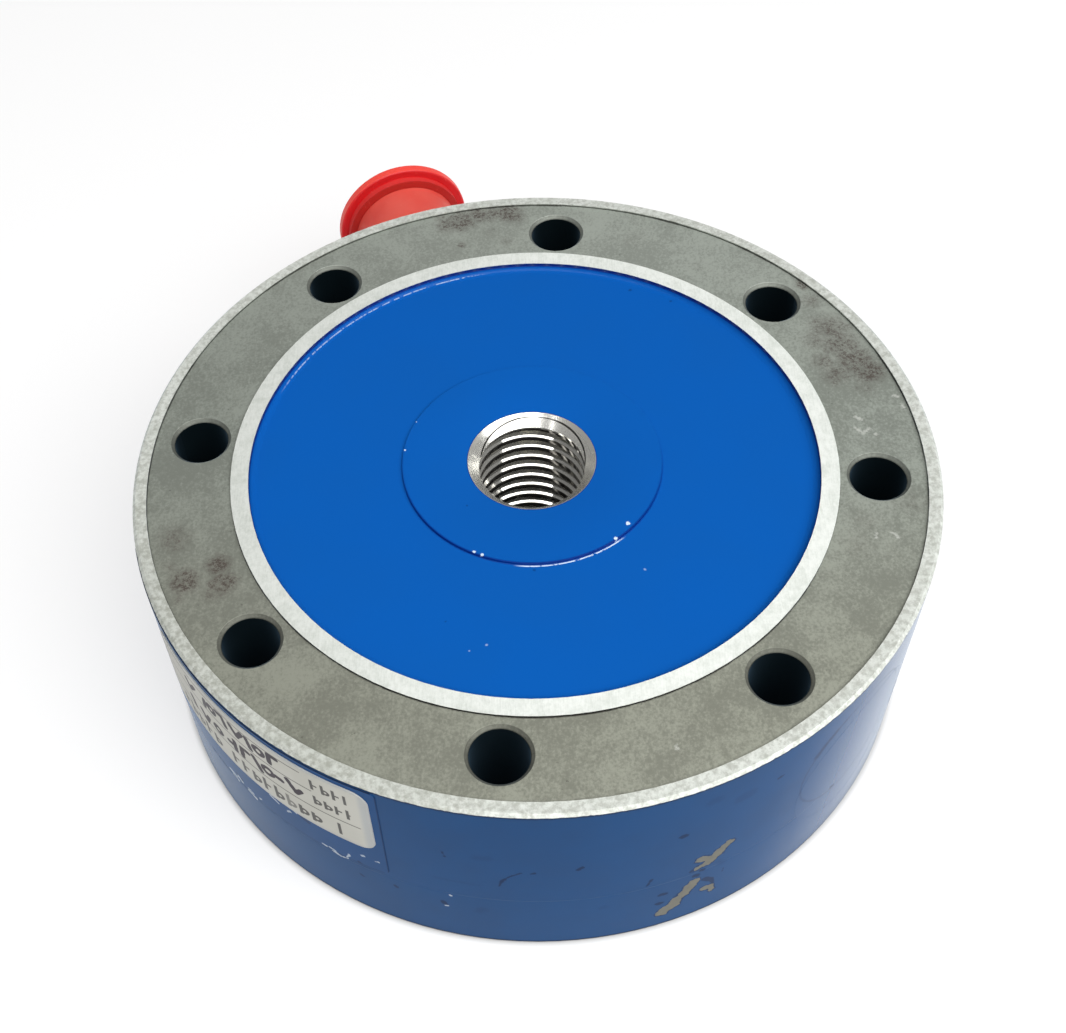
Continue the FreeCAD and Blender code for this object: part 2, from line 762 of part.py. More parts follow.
def write(pieces):
    os.makedirs("parts", exist_ok=True)
    for piece in pieces:
        if piece.Shape.isNull() or not piece.Shape.isValid():
            raise RuntimeError(f"{piece.Label} has no valid shape")
    for piece in pieces:
        piece.Shape.exportStep(f"parts/{piece.Label}.step")
        print(f"{piece.Label}: {len(piece.Shape.Solids)} solids, {piece.Shape.Volume:.2f} mm3")


PIECES = [
    flexure_body(),
    diaphragm("mounting_diaphragm", UPPER_LEDGE),
    diaphragm("loading_diaphragm", "diaphragm_drop"),
    strain_gauges(),
    gauge_terminals(),
    bridge_wiring(),
    connector_leads(),
    trim_board(),
    trim_resistors(),
    trim_leads(),
    port_gasket(),
    port_plug(),
    connector_gasket(),
    connector_shell(),
    connector_insert(),
    connector_pins(),
    flange_screws(),
    dust_cap(),
    nameplate_film(),
    calibration_sticker(),
]
doc.recompute()
check_document()
write(PIECES)
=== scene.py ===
import json
import math
from functools import reduce

import bpy
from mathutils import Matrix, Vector


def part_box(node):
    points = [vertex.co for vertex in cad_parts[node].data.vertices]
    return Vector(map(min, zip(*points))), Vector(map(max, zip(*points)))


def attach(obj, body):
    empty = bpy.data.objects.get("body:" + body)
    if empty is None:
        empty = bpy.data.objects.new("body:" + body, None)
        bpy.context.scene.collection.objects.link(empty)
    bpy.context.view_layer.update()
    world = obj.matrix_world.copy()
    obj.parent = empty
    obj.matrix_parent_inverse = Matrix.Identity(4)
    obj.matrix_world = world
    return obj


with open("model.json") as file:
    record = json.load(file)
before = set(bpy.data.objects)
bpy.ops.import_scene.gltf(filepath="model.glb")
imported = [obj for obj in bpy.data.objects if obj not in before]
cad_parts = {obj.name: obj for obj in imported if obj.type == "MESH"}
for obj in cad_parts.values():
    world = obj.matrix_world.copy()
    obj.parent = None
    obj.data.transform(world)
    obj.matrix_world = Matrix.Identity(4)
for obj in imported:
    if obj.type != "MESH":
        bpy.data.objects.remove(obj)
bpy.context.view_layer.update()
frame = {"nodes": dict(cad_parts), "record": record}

# Sizes that the frame holds, in millimetres
MM = 0.001


def extent(node):
    """Lowest and highest corner of a CAD node in millimetres."""
    return [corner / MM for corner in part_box(node)]


mounts = {mount["name"]: mount for mount in frame["record"]["mounts"]}
RIM = extent("flexure_body")[1].x
TOP = extent("flexure_body")[1].z
SHEET_TOP = extent("mounting_diaphragm")[1].z
FILM_BOTTOM = extent("nameplate_film")[0].z
FILM_TOP = extent("nameplate_film")[1].z
STICKER_BOTTOM = extent("calibration_sticker")[0].z
STICKER_TOP = extent("calibration_sticker")[1].z
BOLT_RADIUS = mounts["bolt_circle"]["dims"]["pcd_mm"] / 2
BOLT_HOLE = mounts["bolt_circle"]["dims"]["hole_r_mm"]
BOLT_PITCH = 360 / mounts["bolt_circle"]["dims"]["count"]
BORE = mounts["hub_thread"]["dims"]["r_mm"]
BORE_LENGTH = mounts["hub_thread"]["dims"]["length_mm"]
BORE_MIDDLE = mounts["hub_thread"]["pos_m"][2] / MM
BORE_TOP = BORE_MIDDLE + BORE_LENGTH / 2
BORE_BOTTOM = BORE_MIDDLE - BORE_LENGTH / 2

# Other sizes of the solids, in millimetres: radii, depths, heights and distances from the load axis
MOUTH_DEPTH = 0.4
HUB = 17.0
HUB_TOP = BORE_TOP + MOUTH_DEPTH
BORE_MOUTH = BORE + MOUTH_DEPTH
RECESS = 37.2
INNER_LAND = 39.53
OUTER_LAND = 50.5
LAND_STEP = 0.4
FLAT = 50.8
SEAM = 12.6
PORT_RADIUS = 11.4
FILM_REACH = 25.2
CAP_STEP = 69.05
CAP_FLANGE = 70.4

# Thread of the hub, in millimetres
THREAD_PITCH = 2.0
THREAD_CREST = BORE - 0.5 * THREAD_PITCH
THREAD_DROP = 0.5

# Azimuths about the load axis, in degrees: places on the cell, the ground faces' lay and the view
FRONT = -90.0
LEFT_BACK = 112.0
PORT_AZIMUTH = 302.6
FILM_AZIMUTH = 205.0
STICKER_AZIMUTH = 211.2
RUNOUT_AZIMUTH = 65.0
LAY = 72.5
LIGHT_TURN = -17.45

# Camera, in metres and degrees
CAMERA_PLACE = (-0.037860, -0.121239, 0.180168)
CAMERA_TURN = (37.0614, 2.8306, -16.0097)
CAMERA_LENS = 49.660
CAMERA_SHIFT = (0.0740, 0.0428)
CAMERA_SENSOR = 36
CAMERA_CLIP = 0.01

# Stage, in metres: the panels' places to the right, back and up, sizes, turns in degrees and powers
FLOOR_SIZE = 6
SKY_STRENGTH = 0.16
PANELS = (
    ("ceiling_panel", (0.68, -0.54, 0.9), (1.87, 1.08), 0, 28),
    ("strip_lamp", (-0.55, -0.55, 0.9), (0.76, 0.05), 62.7, 1.2),
)
TABLE_GREY = (0.42, 0.42, 0.42, 1)
TABLE_GLOW = (0.55, 0.55, 0.55, 1)


# Shader sockets

class Socket:
    """One socket of a material's nodes. Arithmetic on it adds Math nodes."""

    def __init__(self, tree, end=None):
        self.tree = tree
        self.end = end

    def put(self, target, value):
        """Links a socket to a target socket, or sets a plain value there."""
        if isinstance(value, Socket):
            self.tree.links.new(value.end, target)
        else:
            target.default_value = value

    def node(self, kind, settings=None, inputs=None, output=0):
        """Adds a node: its settings first, then the values or links of its sockets."""
        made = self.tree.nodes.new(f"ShaderNode{kind}")
        for name, value in (settings or {}).items():
            setattr(made, name, value)
        for key, value in dict(inputs or {}).items():
            self.put(made.inputs[key], value)
        return Socket(self.tree, made.outputs[output])

    def other(self, output):
        """Another output of the same node."""
        return Socket(self.tree, self.end.node.outputs[output])

    def math(self, operation, *values):
        """Adds a Math node."""
        return self.node("Math", {"operation": operation}, enumerate(values))

    def __add__(self, value):
        return self.math("ADD", self, value)

    def __radd__(self, value):
        return self.math("ADD", value, self)

    def __sub__(self, value):
        return self.math("SUBTRACT", self, value)

    def __rsub__(self, value):
        return self.math("SUBTRACT", value, self)

    def __mul__(self, value):
        return self.math("MULTIPLY", self, value)

    def __rmul__(self, value):
        return self.math("MULTIPLY", value, self)

    def __truediv__(self, value):
        return self.math("DIVIDE", self, value)

    def __abs__(self):
        return self.math("ABSOLUTE", self)


def finish(name, build):
    """A material whose build function gives the values or links of its shader's sockets."""
    material = bpy.data.materials.new(name)
    material.use_nodes = True
    root = Socket(material.node_tree)
    shader = material.node_tree.nodes["Principled BSDF"]
    for key, value in build(root).items():
        root.put(shader.inputs[key], value)
    return material


def places(root):
    """Object coordinates in millimetres."""
    return root.node("VectorMath", {"operation": "SCALE"},
                     {0: root.node("TexCoord", output="Object"), "Scale": 1 / MM})


def split(vector):
    """The three parts of a vector."""
    across = vector.node("SeparateXYZ", inputs={0: vector})
    return across, across.other(1), across.other(2)


def laid(vector, azimuth=0.0, stretch=(1, 1, 1)):
    """Coordinates whose own X axis points along an azimuth, with a stretch along each axis."""
    return vector.node("Mapping", {"vector_type": "TEXTURE"}, {
        "Vector": vector, "Rotation": (0, 0, math.radians(azimuth)), "Scale": stretch})


def noise(vector, per_mm, detail=3.0, roughness=0.55):
    """Uneven value of 0 to 1 that changes about so many times a millimetre."""
    return vector.node("TexNoise", inputs={"Vector": vector, "Scale": per_mm, "Detail": detail,
                                           "Roughness": roughness})


def rise(value, low, high):
    """Smooth step from 0 at low to 1 at high."""
    return value.node("MapRange", {"interpolation_type": "SMOOTHSTEP"},
                      {"Value": value, "From Min": low, "From Max": high})


def fall(value, low, high, start=1.0):
    """Smooth step from a start value at low to 0 at high."""
    return value.node("MapRange", {"interpolation_type": "SMOOTHSTEP"}, {
        "Value": value, "From Min": low, "From Max": high, "To Min": start, "To Max": 0.0})


def between(value, low, high, soft=0.04):
    """Mask of the values between low and high, with soft edges."""
    return rise(value, low - soft, low + soft) * fall(value, high - soft, high + soft)


def largest(values):
    """The largest of several values, compared as they are made."""
    return reduce(lambda total, value: total.math("MAXIMUM", total, value), values)


def smallest(values):
    """The smallest of several values, compared as they are made."""
    return reduce(lambda total, value: total.math("MINIMUM", total, value), values)


def most(*masks):
    """The largest of the masks given."""
    return largest(masks)


def tint(mask, below, above):
    """Colour that goes from below to above with the mask."""
    return mask.node("Mix", {"data_type": "RGBA"}, {0: mask, 6: below, 7: above}, 2)


def level(mask, below, above):
    """Value that goes from below to above with the mask."""
    return mask * (above - below) + below


def relief(height, depth, under=None):
    """Surface relief of a depth in millimetres."""
    inputs = {"Strength": 1.0, "Distance": depth * MM, "Height": height}
    if under:
        inputs["Normal"] = under
    return height.node("Bump", inputs=inputs)


def distance(*parts):
    """Length of the vector with these parts."""
    total = parts[0] * parts[0]
    for part in parts[1:]:
        total = total + part * part
    return total.math("SQRT", total)


def flat(across, along):
    """Point of a flat drawing."""
    return across.node("CombineXYZ", inputs={0: across, 1: along})


def gap(point, other):
    """Distance between two points."""
    return point.node("VectorMath", {"operation": "DISTANCE"}, {0: point, 1: other}, "Value")


def stroke(point, start, end, radius):
    """Distance in millimetres outside a stroke with round ends between two points."""
    run = Vector((*end, 0)) - Vector((*start, 0))
    way = point.node("VectorMath", {"operation": "SUBTRACT"}, {0: point, 1: (*start, 0)})
    share = way.node("VectorMath", {"operation": "DOT_PRODUCT"},
                     {0: way, 1: run / run.length_squared}, "Value")
    share = share.node("Clamp", inputs={"Value": share})
    nearest = share.node("VectorMath", {"operation": "SCALE"}, {0: run, "Scale": share})
    return gap(way, nearest) - radius


def dot(point, middle, radius):
    """Distance in millimetres outside a round spot."""
    return gap(point, (*middle, 0)) - radius


def wall_places(vector, azimuth):
    """Distance along the side wall from an azimuth, and the height, both in millimetres."""
    outward, along, height = split(laid(vector, azimuth))
    return outward.math("ARCTAN2", along, outward) * RIM, height


def on_wall(azimuth, height, middle=FRONT):
    """A point of the side wall as wall_places gives it."""
    return RIM * math.radians(azimuth - middle), height


def on_face(radius, azimuth):
    """A point of a level face, by its distance from the load axis and its azimuth."""
    return radius * math.cos(math.radians(azimuth)), radius * math.sin(math.radians(azimuth))


# Stage

def set_camera():
    """Camera at the photograph's viewing angle."""
    camera = bpy.data.objects.new("camera", bpy.data.cameras.new("camera"))
    camera.location = CAMERA_PLACE
    camera.rotation_euler = [math.radians(angle) for angle in CAMERA_TURN]
    camera.data.lens = CAMERA_LENS
    camera.data.sensor_width = CAMERA_SENSOR
    camera.data.shift_x, camera.data.shift_y = CAMERA_SHIFT
    camera.data.clip_start = CAMERA_CLIP
    bpy.context.scene.collection.objects.link(camera)
    bpy.context.scene.camera = camera


def add_panel(name, place, size, turn, power):
    """Level soft panel, placed to the right and the back as the camera sees it."""
    right, back, height = place
    light = bpy.data.objects.new(name, bpy.data.lights.new(name, "AREA"))
    light.data.shape = "RECTANGLE"
    light.data.size, light.data.size_y = size
    light.data.energy = power
    view_turn = math.radians(LIGHT_TURN)
    light.location = (right * math.cos(view_turn) - back * math.sin(view_turn),
                      right * math.sin(view_turn) + back * math.cos(view_turn), height)
    light.rotation_euler = (0, 0, view_turn + math.radians(turn))
    bpy.context.scene.collection.objects.link(light)


def light_scene():
    """White sky and the soft panels."""
    world = bpy.data.worlds.new("studio")
    world.use_nodes = True
    backdrop = world.node_tree.nodes["Background"]
    backdrop.inputs["Color"].default_value = (1, 1, 1, 1)
    backdrop.inputs["Strength"].default_value = SKY_STRENGTH
    bpy.context.scene.world = world
    bpy.context.scene.view_settings.view_transform = "Standard"
    for panel in PANELS:
        add_panel(*panel)


def table_surface(root):
    """Light table whose glow is masked under the cell."""
    across, along, _ = split(places(root))
    # The glow fades out across the rim, which paints a thin contact shadow round the base.
    clear = rise(distance(across, along), RIM - 0.6, RIM + 0.9)
    return {
        "Base Color": TABLE_GREY,
        "Roughness": 0.7,
        "Emission Color": tint(clear, (0, 0, 0, 1), TABLE_GLOW),
        "Emission Strength": 1.0,
    }


def add_floor():
    """Pale floor that the cell lies on."""
    bpy.ops.mesh.primitive_plane_add(size=FLOOR_SIZE)
    floor = bpy.context.object
    floor.name = "floor"
    floor.data.materials.append(finish("light_table", table_surface))


# Marks of the bolt face: radius, azimuth, size and strength of the rust, then the radius and
# azimuth of both ends and half the width of the scuffs

RUST = (
    (48.5, 84.9, 2.6, 1.0), (48.2, 87.2, 2.2, 0.8), (49.5, 81.4, 2.2, 0.9), (49.1, 79.0, 2.0, 0.8),
    (49.2, 76.2, 2.4, 1.0), (47.9, 74.8, 1.8, 0.6), (50.1, 87.9, 1.6, 0.6), (43.2, 86.0, 0.8, 0.7),
    (44.9, 80.2, 1.8, 0.35), (42.7, 77.2, 1.2, 0.5), (45.3, 52.9, 2.6, 0.35),
    (43.8, 38.8, 2.6, 0.3), (50.5, 21.9, 1.6, 0.8), (48.9, 18.3, 2.0, 0.6), (47.4, 11.8, 3.2, 0.8),
    (49.4, 10.4, 2.2, 0.6), (47.0, 7.5, 3.4, 0.85), (44.6, 10.4, 2.6, 0.6), (47.1, 3.1, 3.0, 1.0),
    (47.8, 0.5, 2.6, 1.0), (43.6, 1.7, 2.6, 0.7), (43.2, 5.2, 2.2, 0.7), (46.3, -2.4, 2.2, 0.5),
    (48.6, -27.1, 3.0, 0.4), (46.2, -27.5, 2.6, 0.3), (43.0, -32.5, 2.4, 0.4),
    (42.9, -37.8, 2.6, 0.4), (47.4, 178.4, 2.8, 0.6), (48.6, -176.6, 1.4, 0.55),
    (47.5, -173.1, 2.2, 1.0), (42.9, -173.9, 1.8, 1.0), (43.3, -170.1, 2.2, 0.9),
    (45.0, -169.0, 1.8, 0.6), (49.1, -170.4, 1.2, 0.5), (46.0, -172.0, 4.0, 0.35),
)
SCUFFS = (
    (43.2, -9.0, 43.8, -9.7, 0.14), (42.7, -11.5, 43.4, -12.7, 0.14),
    (43.4, -12.7, 44.5, -12.0, 0.12), (44.9, -13.2, 45.1, -13.5, 0.12),
    (49.4, -5.7, 49.7, -5.9, 0.16), (49.8, -7.8, 49.9, -8.4, 0.1), (46.5, -33.8, 47.3, -34.5, 0.1),
    (44.6, -34.6, 44.7, -35.4, 0.1), (46.1, -87.1, 46.5, -87.2, 0.1),
)

# Outline of the port that shows through the paint: azimuth and height of its middle, and its radius

OUTLINE_MIDDLE = (-59.1, 21.4)
OUTLINE_RADIUS = 9.85

# Marks of the side wall: azimuth and height of both ends, and half the width

CHIPS = (
    ((-81.0, 17.7), (-82.4, 16.2), 0.58), ((-82.4, 16.2), (-83.6, 14.6), 0.85),
    ((-83.6, 14.6), (-85.4, 13.8), 0.58), ((-85.3, 16.2), (-84.0, 15.6), 0.62),
    ((-85.7, 10.0), (-86.7, 8.1), 0.8), ((-86.7, 8.1), (-88.3, 5.4), 0.8),
    ((-88.3, 5.4), (-89.6, 3.8), 0.85), ((-83.7, 7.0), (-82.8, 6.8), 0.52),
    ((-82.6, 6.6), (-82.4, 5.6), 0.34),
)
SCARS = (
    ((-83.9, 9.8), (-82.9, 8.8), 0.42), ((-82.7, 8.4), (-82.4, 7.4), 0.25),
    ((-90.4, 9.5), (-89.7, 9.4), 0.38), ((-90.5, 7.1), (-90.2, 7.0), 0.42),
    ((-92.4, 13.4), (-92.0, 14.6), 0.18), ((-88.4, 24.2), (-88.0, 24.3), 0.4),
    ((-85.6, 11.9), (-85.2, 11.7), 0.35), ((-84.8, 12.9), (-84.4, 12.7), 0.2),
    ((-86.3, 13.6), (-86.1, 13.8), 0.22), ((-81.1, 10.7), (-81.2, 9.8), 0.12),
    ((-102.0, 21.0), (-101.5, 21.5), 0.26), ((-107.7, 20.5), (-107.7, 20.4), 0.2),
    ((-120.1, 9.7), (-119.9, 9.3), 0.34), ((-119.4, 23.8), (-119.1, 22.8), 0.16),
    ((-126.9, 10.6), (-126.7, 10.4), 0.24), ((-112.2, 16.6), (-111.8, 18.2), 0.12),
    ((-111.8, 18.2), (-110.7, 19.5), 0.14), ((-110.7, 19.5), (-109.3, 20.5), 0.1),
    ((-132.1, 9.9), (-131.9, 9.8), 0.22), ((-74.9, 28.4), (-74.2, 28.5), 0.2),
    ((-62.0, 12.3), (-61.3, 12.2), 0.22),
)
SMUDGES = (
    ((-115.0, 23.8), (-113.6, 23.8), 0.5), ((-120.7, 16.5), (-114.8, 16.2), 0.12),
    ((-115.1, 8.7), (-114.5, 9.3), 0.6), ((-98.6, 9.5), (-98.1, 9.5), 0.35),
    ((-82.2, 13.4), (-81.6, 12.4), 0.4), ((-80.6, 28.4), (-79.4, 28.5), 0.9),
    ((-85.0, 30.6), (-84.2, 30.7), 0.7),
)
PORT_SMUDGES = (
    ((-68.2, 27.0), (-66.8, 28.6), 0.4), ((-66.8, 28.6), (-65.0, 29.8), 0.3),
    ((-65.0, 29.8), (-63.0, 30.7), 0.1),
)
GLINTS = (
    ((-119.0, 12.1), (-118.9, 12.0), 0.14), ((-119.8, 8.7), (-119.5, 8.7), 0.1),
    ((-155.6, 13.1), (-154.4, 12.8), 0.3), ((-151.9, 12.9), (-150.6, 12.5), 0.26),
    ((-136.2, 13.3), (-135.0, 12.8), 0.14), ((-134.6, 12.9), (-133.8, 13.1), 0.12),
)


def wall_marks(spot, table, middle=FRONT):
    """Distance in millimetres outside the nearest of a table's strokes on the side wall."""
    return smallest(stroke(spot, on_wall(*start, middle), on_wall(*end, middle), radius)
                    for start, end, radius in table)


# Finishes of the cell: a number in them is a share, a place in millimetres or a noise's threshold

PAINT = (0.0025, 0.089, 0.385, 1)
PAINT_WORN = (0.0035, 0.086, 0.355, 1)
PAINT_SHADE = (0.0015, 0.022, 0.190, 1)
WALL_PAINT = (0.0088, 0.054, 0.165, 1)
WALL_WORN = (0.0110, 0.048, 0.140, 1)
WALL_SCAR = (0.003, 0.015, 0.060, 1)
WALL_EDGE = (0.008, 0.013, 0.034, 1)
SEAM_HIGHLIGHT = (0.12, 0.17, 0.25, 1)
WALL_GLINT = (0.5, 0.55, 0.6, 1)
SHEET_GLINT = (0.62, 0.72, 0.82, 1)
BASE_CONTACT_SHADE = (0.012, 0.009, 0.016, 1)
PRIMER = (0.190, 0.180, 0.145, 1)
PRIMER_DULL = (0.130, 0.122, 0.098, 1)
LAND_STEEL = (0.96, 0.99, 0.94, 1)
LAND_DULL_AND_PAINTED_LIGHT = (0.74, 0.78, 0.72, 1)
OUTER_DULL_AND_SHADE = (0.40, 0.41, 0.36, 1)
SHADED_STEEL = (0.12, 0.12, 0.10, 1)
FACE_STEEL = (0.355, 0.385, 0.340, 1)
FACE_DULL = (0.245, 0.265, 0.232, 1)
FACE_STEEL_WARM_LIGHT = (0.345, 0.355, 0.293, 1)
FACE_DULL_WARM_LIGHT = (0.232, 0.238, 0.196, 1)
SCUFF_STEEL = (0.72, 0.73, 0.68, 1)
STEP_DIRT_AND_SHADE = (0.022, 0.018, 0.015, 1)
RUST_BROWN = (0.085, 0.064, 0.055, 1)
RUST_DARK = (0.040, 0.031, 0.028, 1)
HOLE_RIM_SHADE = (0.060, 0.060, 0.052, 1)
HOLE_SHADE = (0.004, 0.008, 0.010, 1)
THREAD_STEEL = (0.78, 0.77, 0.72, 1)
THREAD_DIRT_AND_SHADE = (0.05, 0.045, 0.040, 1)

# Dull gloss of the side wall's paint and of the film on it
WALL_GLOSS = {
    "Specular IOR Level": 0.022,
    "Sheen Weight": 0.12,
    "Sheen Roughness": 0.35,
    "Sheen Tint": (0.40, 0.70, 1.0, 1),
}


def ground_steel(place, x, y, radius, z):
    """Colour, metal share and relief of the lands, the bolt face between them and the steps."""
    strokes = noise(laid(place, LAY - 90, (0.16, 2.6, 1)), 1.0, 2)
    grain = noise(laid(place, LAY - 90, (0.42, 1.0, 1)), 1.0, 4, 0.7)
    pebbles = noise(place, 2.8, 3, 0.65)
    clouds = noise(place, 0.5, 4, 0.6)
    stain = noise(place, 0.11, 4, 0.6)
    speckle = noise(place, 2.4, 5, 0.75)
    rightward, backward, _ = split(laid(place, LIGHT_TURN))
    on_land = most(rise(z, TOP - 0.12, TOP - 0.08),
                   rise(radius, OUTER_LAND + 1.0, OUTER_LAND + 1.1))
    outer = rise(radius, OUTER_LAND - 0.1, OUTER_LAND)

    wear = strokes * 0.15 + grain * 0.3 + pebbles * 0.2 + clouds * 0.35
    land = tint(rise(wear, 0.38, 0.66), LAND_STEEL, LAND_DULL_AND_PAINTED_LIGHT)
    mottle = noise(place, 1.3, 3, 0.6) * 0.7 + pebbles * 0.3
    mottle = level(rise(mottle, 0.38, 0.66), 0.28, 0.75)
    # The outer land is mottled duller, and painted shade darkens it further towards the front left.
    painted_shade_corner = fall(rightward + backward, -70, -50, 0.25)
    land = tint(outer * (mottle + painted_shade_corner), land, OUTER_DULL_AND_SHADE)

    # Painted warm light: the bolt face is tinted warmer towards the front.
    painted_warm_light = fall(backward, -40, 5)
    tarnish = stain * 0.36 + clouds * 0.1 + pebbles * 0.32 + grain * 0.22
    face = tint(rise(tarnish, 0.42, 0.58),
                tint(painted_warm_light, FACE_STEEL, FACE_STEEL_WARM_LIGHT), tint(painted_warm_light, FACE_DULL, FACE_DULL_WARM_LIGHT))
    face = tint(rise(noise(place, 1.3, 2), 0.71, 0.78) * 0.4, face, STEP_DIRT_AND_SHADE)
    # Painted light: the bolt face is lighter towards the back.
    face = tint(rise(backward, 5, 45) * 0.09, face, LAND_DULL_AND_PAINTED_LIGHT)
    # Painted shade: the bolt face and the inner land are darker towards the left; the outer land's
    # top is left out.
    painted_shade_side = fall(rightward, -50, 20) * (1 - outer * on_land)
    steel = tint(painted_shade_side * 0.22, tint(on_land, face, land), SHADED_STEEL)

    spot = flat(x, y)
    spread = largest(fall(gap(spot, (*on_face(ring, azimuth), 0)), 0, 1.7 * size, strength)
                     for ring, azimuth, size, strength in RUST)
    rust = rise(spread + (noise(place, 0.9, 4, 0.7) - 0.5) * 1.3, 0.25, 0.9) * (1 - on_land)
    rust = rust * level(rise(speckle, 0.44, 0.58), 0.15, 1.0)
    steel = tint(rise(spread, 0.08, 0.85) * (1 - on_land) * 0.28, steel, RUST_BROWN)
    steel = tint(rust * 0.9, steel, tint(pebbles, RUST_BROWN, RUST_DARK))

    scuffs = smallest(stroke(spot, on_face(start, first), on_face(end, last), size)
                      for start, first, end, last, size in SCUFFS)
    steel = tint(fall(scuffs + (pebbles - 0.5) * 0.9, -0.15, 0.25) * 0.5, steel, SCUFF_STEEL)

    # Painted shade darkens the walls of the land steps; dirt darkens the corners at their foot in
    # patches.
    bottom = TOP - LAND_STEP + 0.03
    inner_step = (between(z, bottom, TOP - 0.05, 0.02)
                  * between(radius, INNER_LAND - 0.2, INNER_LAND + 0.2))
    outer_step = (between(z, bottom, TOP - 0.2, 0.02)
                  * between(radius, OUTER_LAND - 0.2, OUTER_LAND + 0.2))
    foot = most(between(radius, INNER_LAND - 0.1, INNER_LAND + 0.09, 0.05),
                between(radius, OUTER_LAND - 0.09, OUTER_LAND + 0.1, 0.05)) * (1 - on_land)
    dirt_and_shade = most(inner_step, outer_step * 0.8, foot * rise(stain + speckle * 0.5, 0.6, 0.85) * 0.8)
    steel = tint(dirt_and_shade, steel, STEP_DIRT_AND_SHADE)
    metal = (1 - most(rust, dirt_and_shade)) * 0.4
    return steel, metal, strokes + pebbles * 0.4


def bolt_hole_distance(x, y, radius):
    """Distance from the axis of the nearest bolt hole."""
    pitch = math.radians(BOLT_PITCH)
    turn = x.math("WRAP", x.math("ARCTAN2", y, x), pitch, 0) - pitch / 2
    return distance(radius * x.math("COSINE", turn) - BOLT_RADIUS, radius * x.math("SINE", turn))


def painted_areas(place, y, radius, z):
    """Masks of the painted shade on the recess wall and the hub, and of all that is painted."""
    ragged = noise(place, 1.1, 3)
    below_edge = fall(z + (ragged - 0.5) * 0.3, TOP - 0.46, TOP - 0.38)
    wall = rise(radius, RIM - 0.42, RIM - 0.36) * below_edge
    seat = rise(y, FLAT - 0.1, FLAT - 0.05) * below_edge
    recess = between(radius, RECESS - 1, RECESS + 0.02) * between(z, SHEET_TOP - 0.2, TOP - 0.05)
    hub = (between(radius, BORE_MOUTH + 0.02, HUB + 0.2, 0.02)
           * rise(z, HUB_TOP - 0.5, HUB_TOP - 0.4))
    underside = fall(z, 0.5, 0.6) * rise(radius, HUB, HUB + 0.1)
    return most(recess, hub), most(wall, seat, recess, hub, underside)


def wall_paint(place, across, height, on_side):
    """Colour of the side wall's paint with its marks, the chips in it and the dark marks, a painted
    highlight on the seam and painted contact shade at the base.
    """
    grit = noise(place, 1.1, 4, 0.6)
    cloud = noise(place, 0.09, 4)
    spot = flat(across, height)
    ragged = noise(place, 0.6, 2)
    chips = wall_marks(spot, CHIPS) + (grit - 0.5) * 1.3 + (ragged - 0.5) * 1.3
    scars = wall_marks(spot, SCARS) + (grit - 0.5) * 0.9
    smudges = wall_marks(spot, SMUDGES) + (grit - 0.5) * 1.2
    outline = abs(dot(spot, on_wall(*OUTLINE_MIDDLE), OUTLINE_RADIUS))
    port_ring = most(fall(outline + (grit - 0.5) * 0.4, 0.0, 0.32) * 0.6,
                     fall(wall_marks(spot, PORT_SMUDGES) + (grit - 0.5) * 0.4, -0.25, 0.45))
    glints = wall_marks(spot, GLINTS) + (grit - 0.5) * 0.6
    chipped = fall(chips, -0.06, 0.02) * on_side
    scarred = fall(scars, -0.05, 0.12) * on_side
    seam = fall(abs(height - SEAM), 0.06, 0.2) * rise(cloud + grit * 0.5, 0.55, 0.85) * on_side

    paint = tint(rise(cloud, 0.35, 0.7) * 0.6, WALL_PAINT, WALL_WORN)
    # Painted highlight: a faint, broken light line along the seam.
    paint = tint(seam * 0.12, paint, SEAM_HIGHLIGHT)
    paint = tint(rise(height + (grit - 0.5) * 0.5, TOP - 0.95, TOP - 0.6) * 0.75, paint, WALL_EDGE)
    dark = most(fall(chips, 0.1, 0.32) * 0.8, scarred * 0.9, fall(smudges, -0.4, 0.5) * 0.2,
                port_ring * 0.7) * on_side
    paint = tint(dark, paint, WALL_SCAR)
    # Painted contact shade: the wall darkens towards its base.
    paint = tint(fall(height, 0.4, 0.9) * 0.85, paint, BASE_CONTACT_SHADE)
    paint = tint(fall(glints, -0.02, 0.08) * on_side * 0.8, paint, WALL_GLINT)
    paint = tint(chipped, paint, tint(grit, PRIMER, PRIMER_DULL))
    return paint, chipped, dark


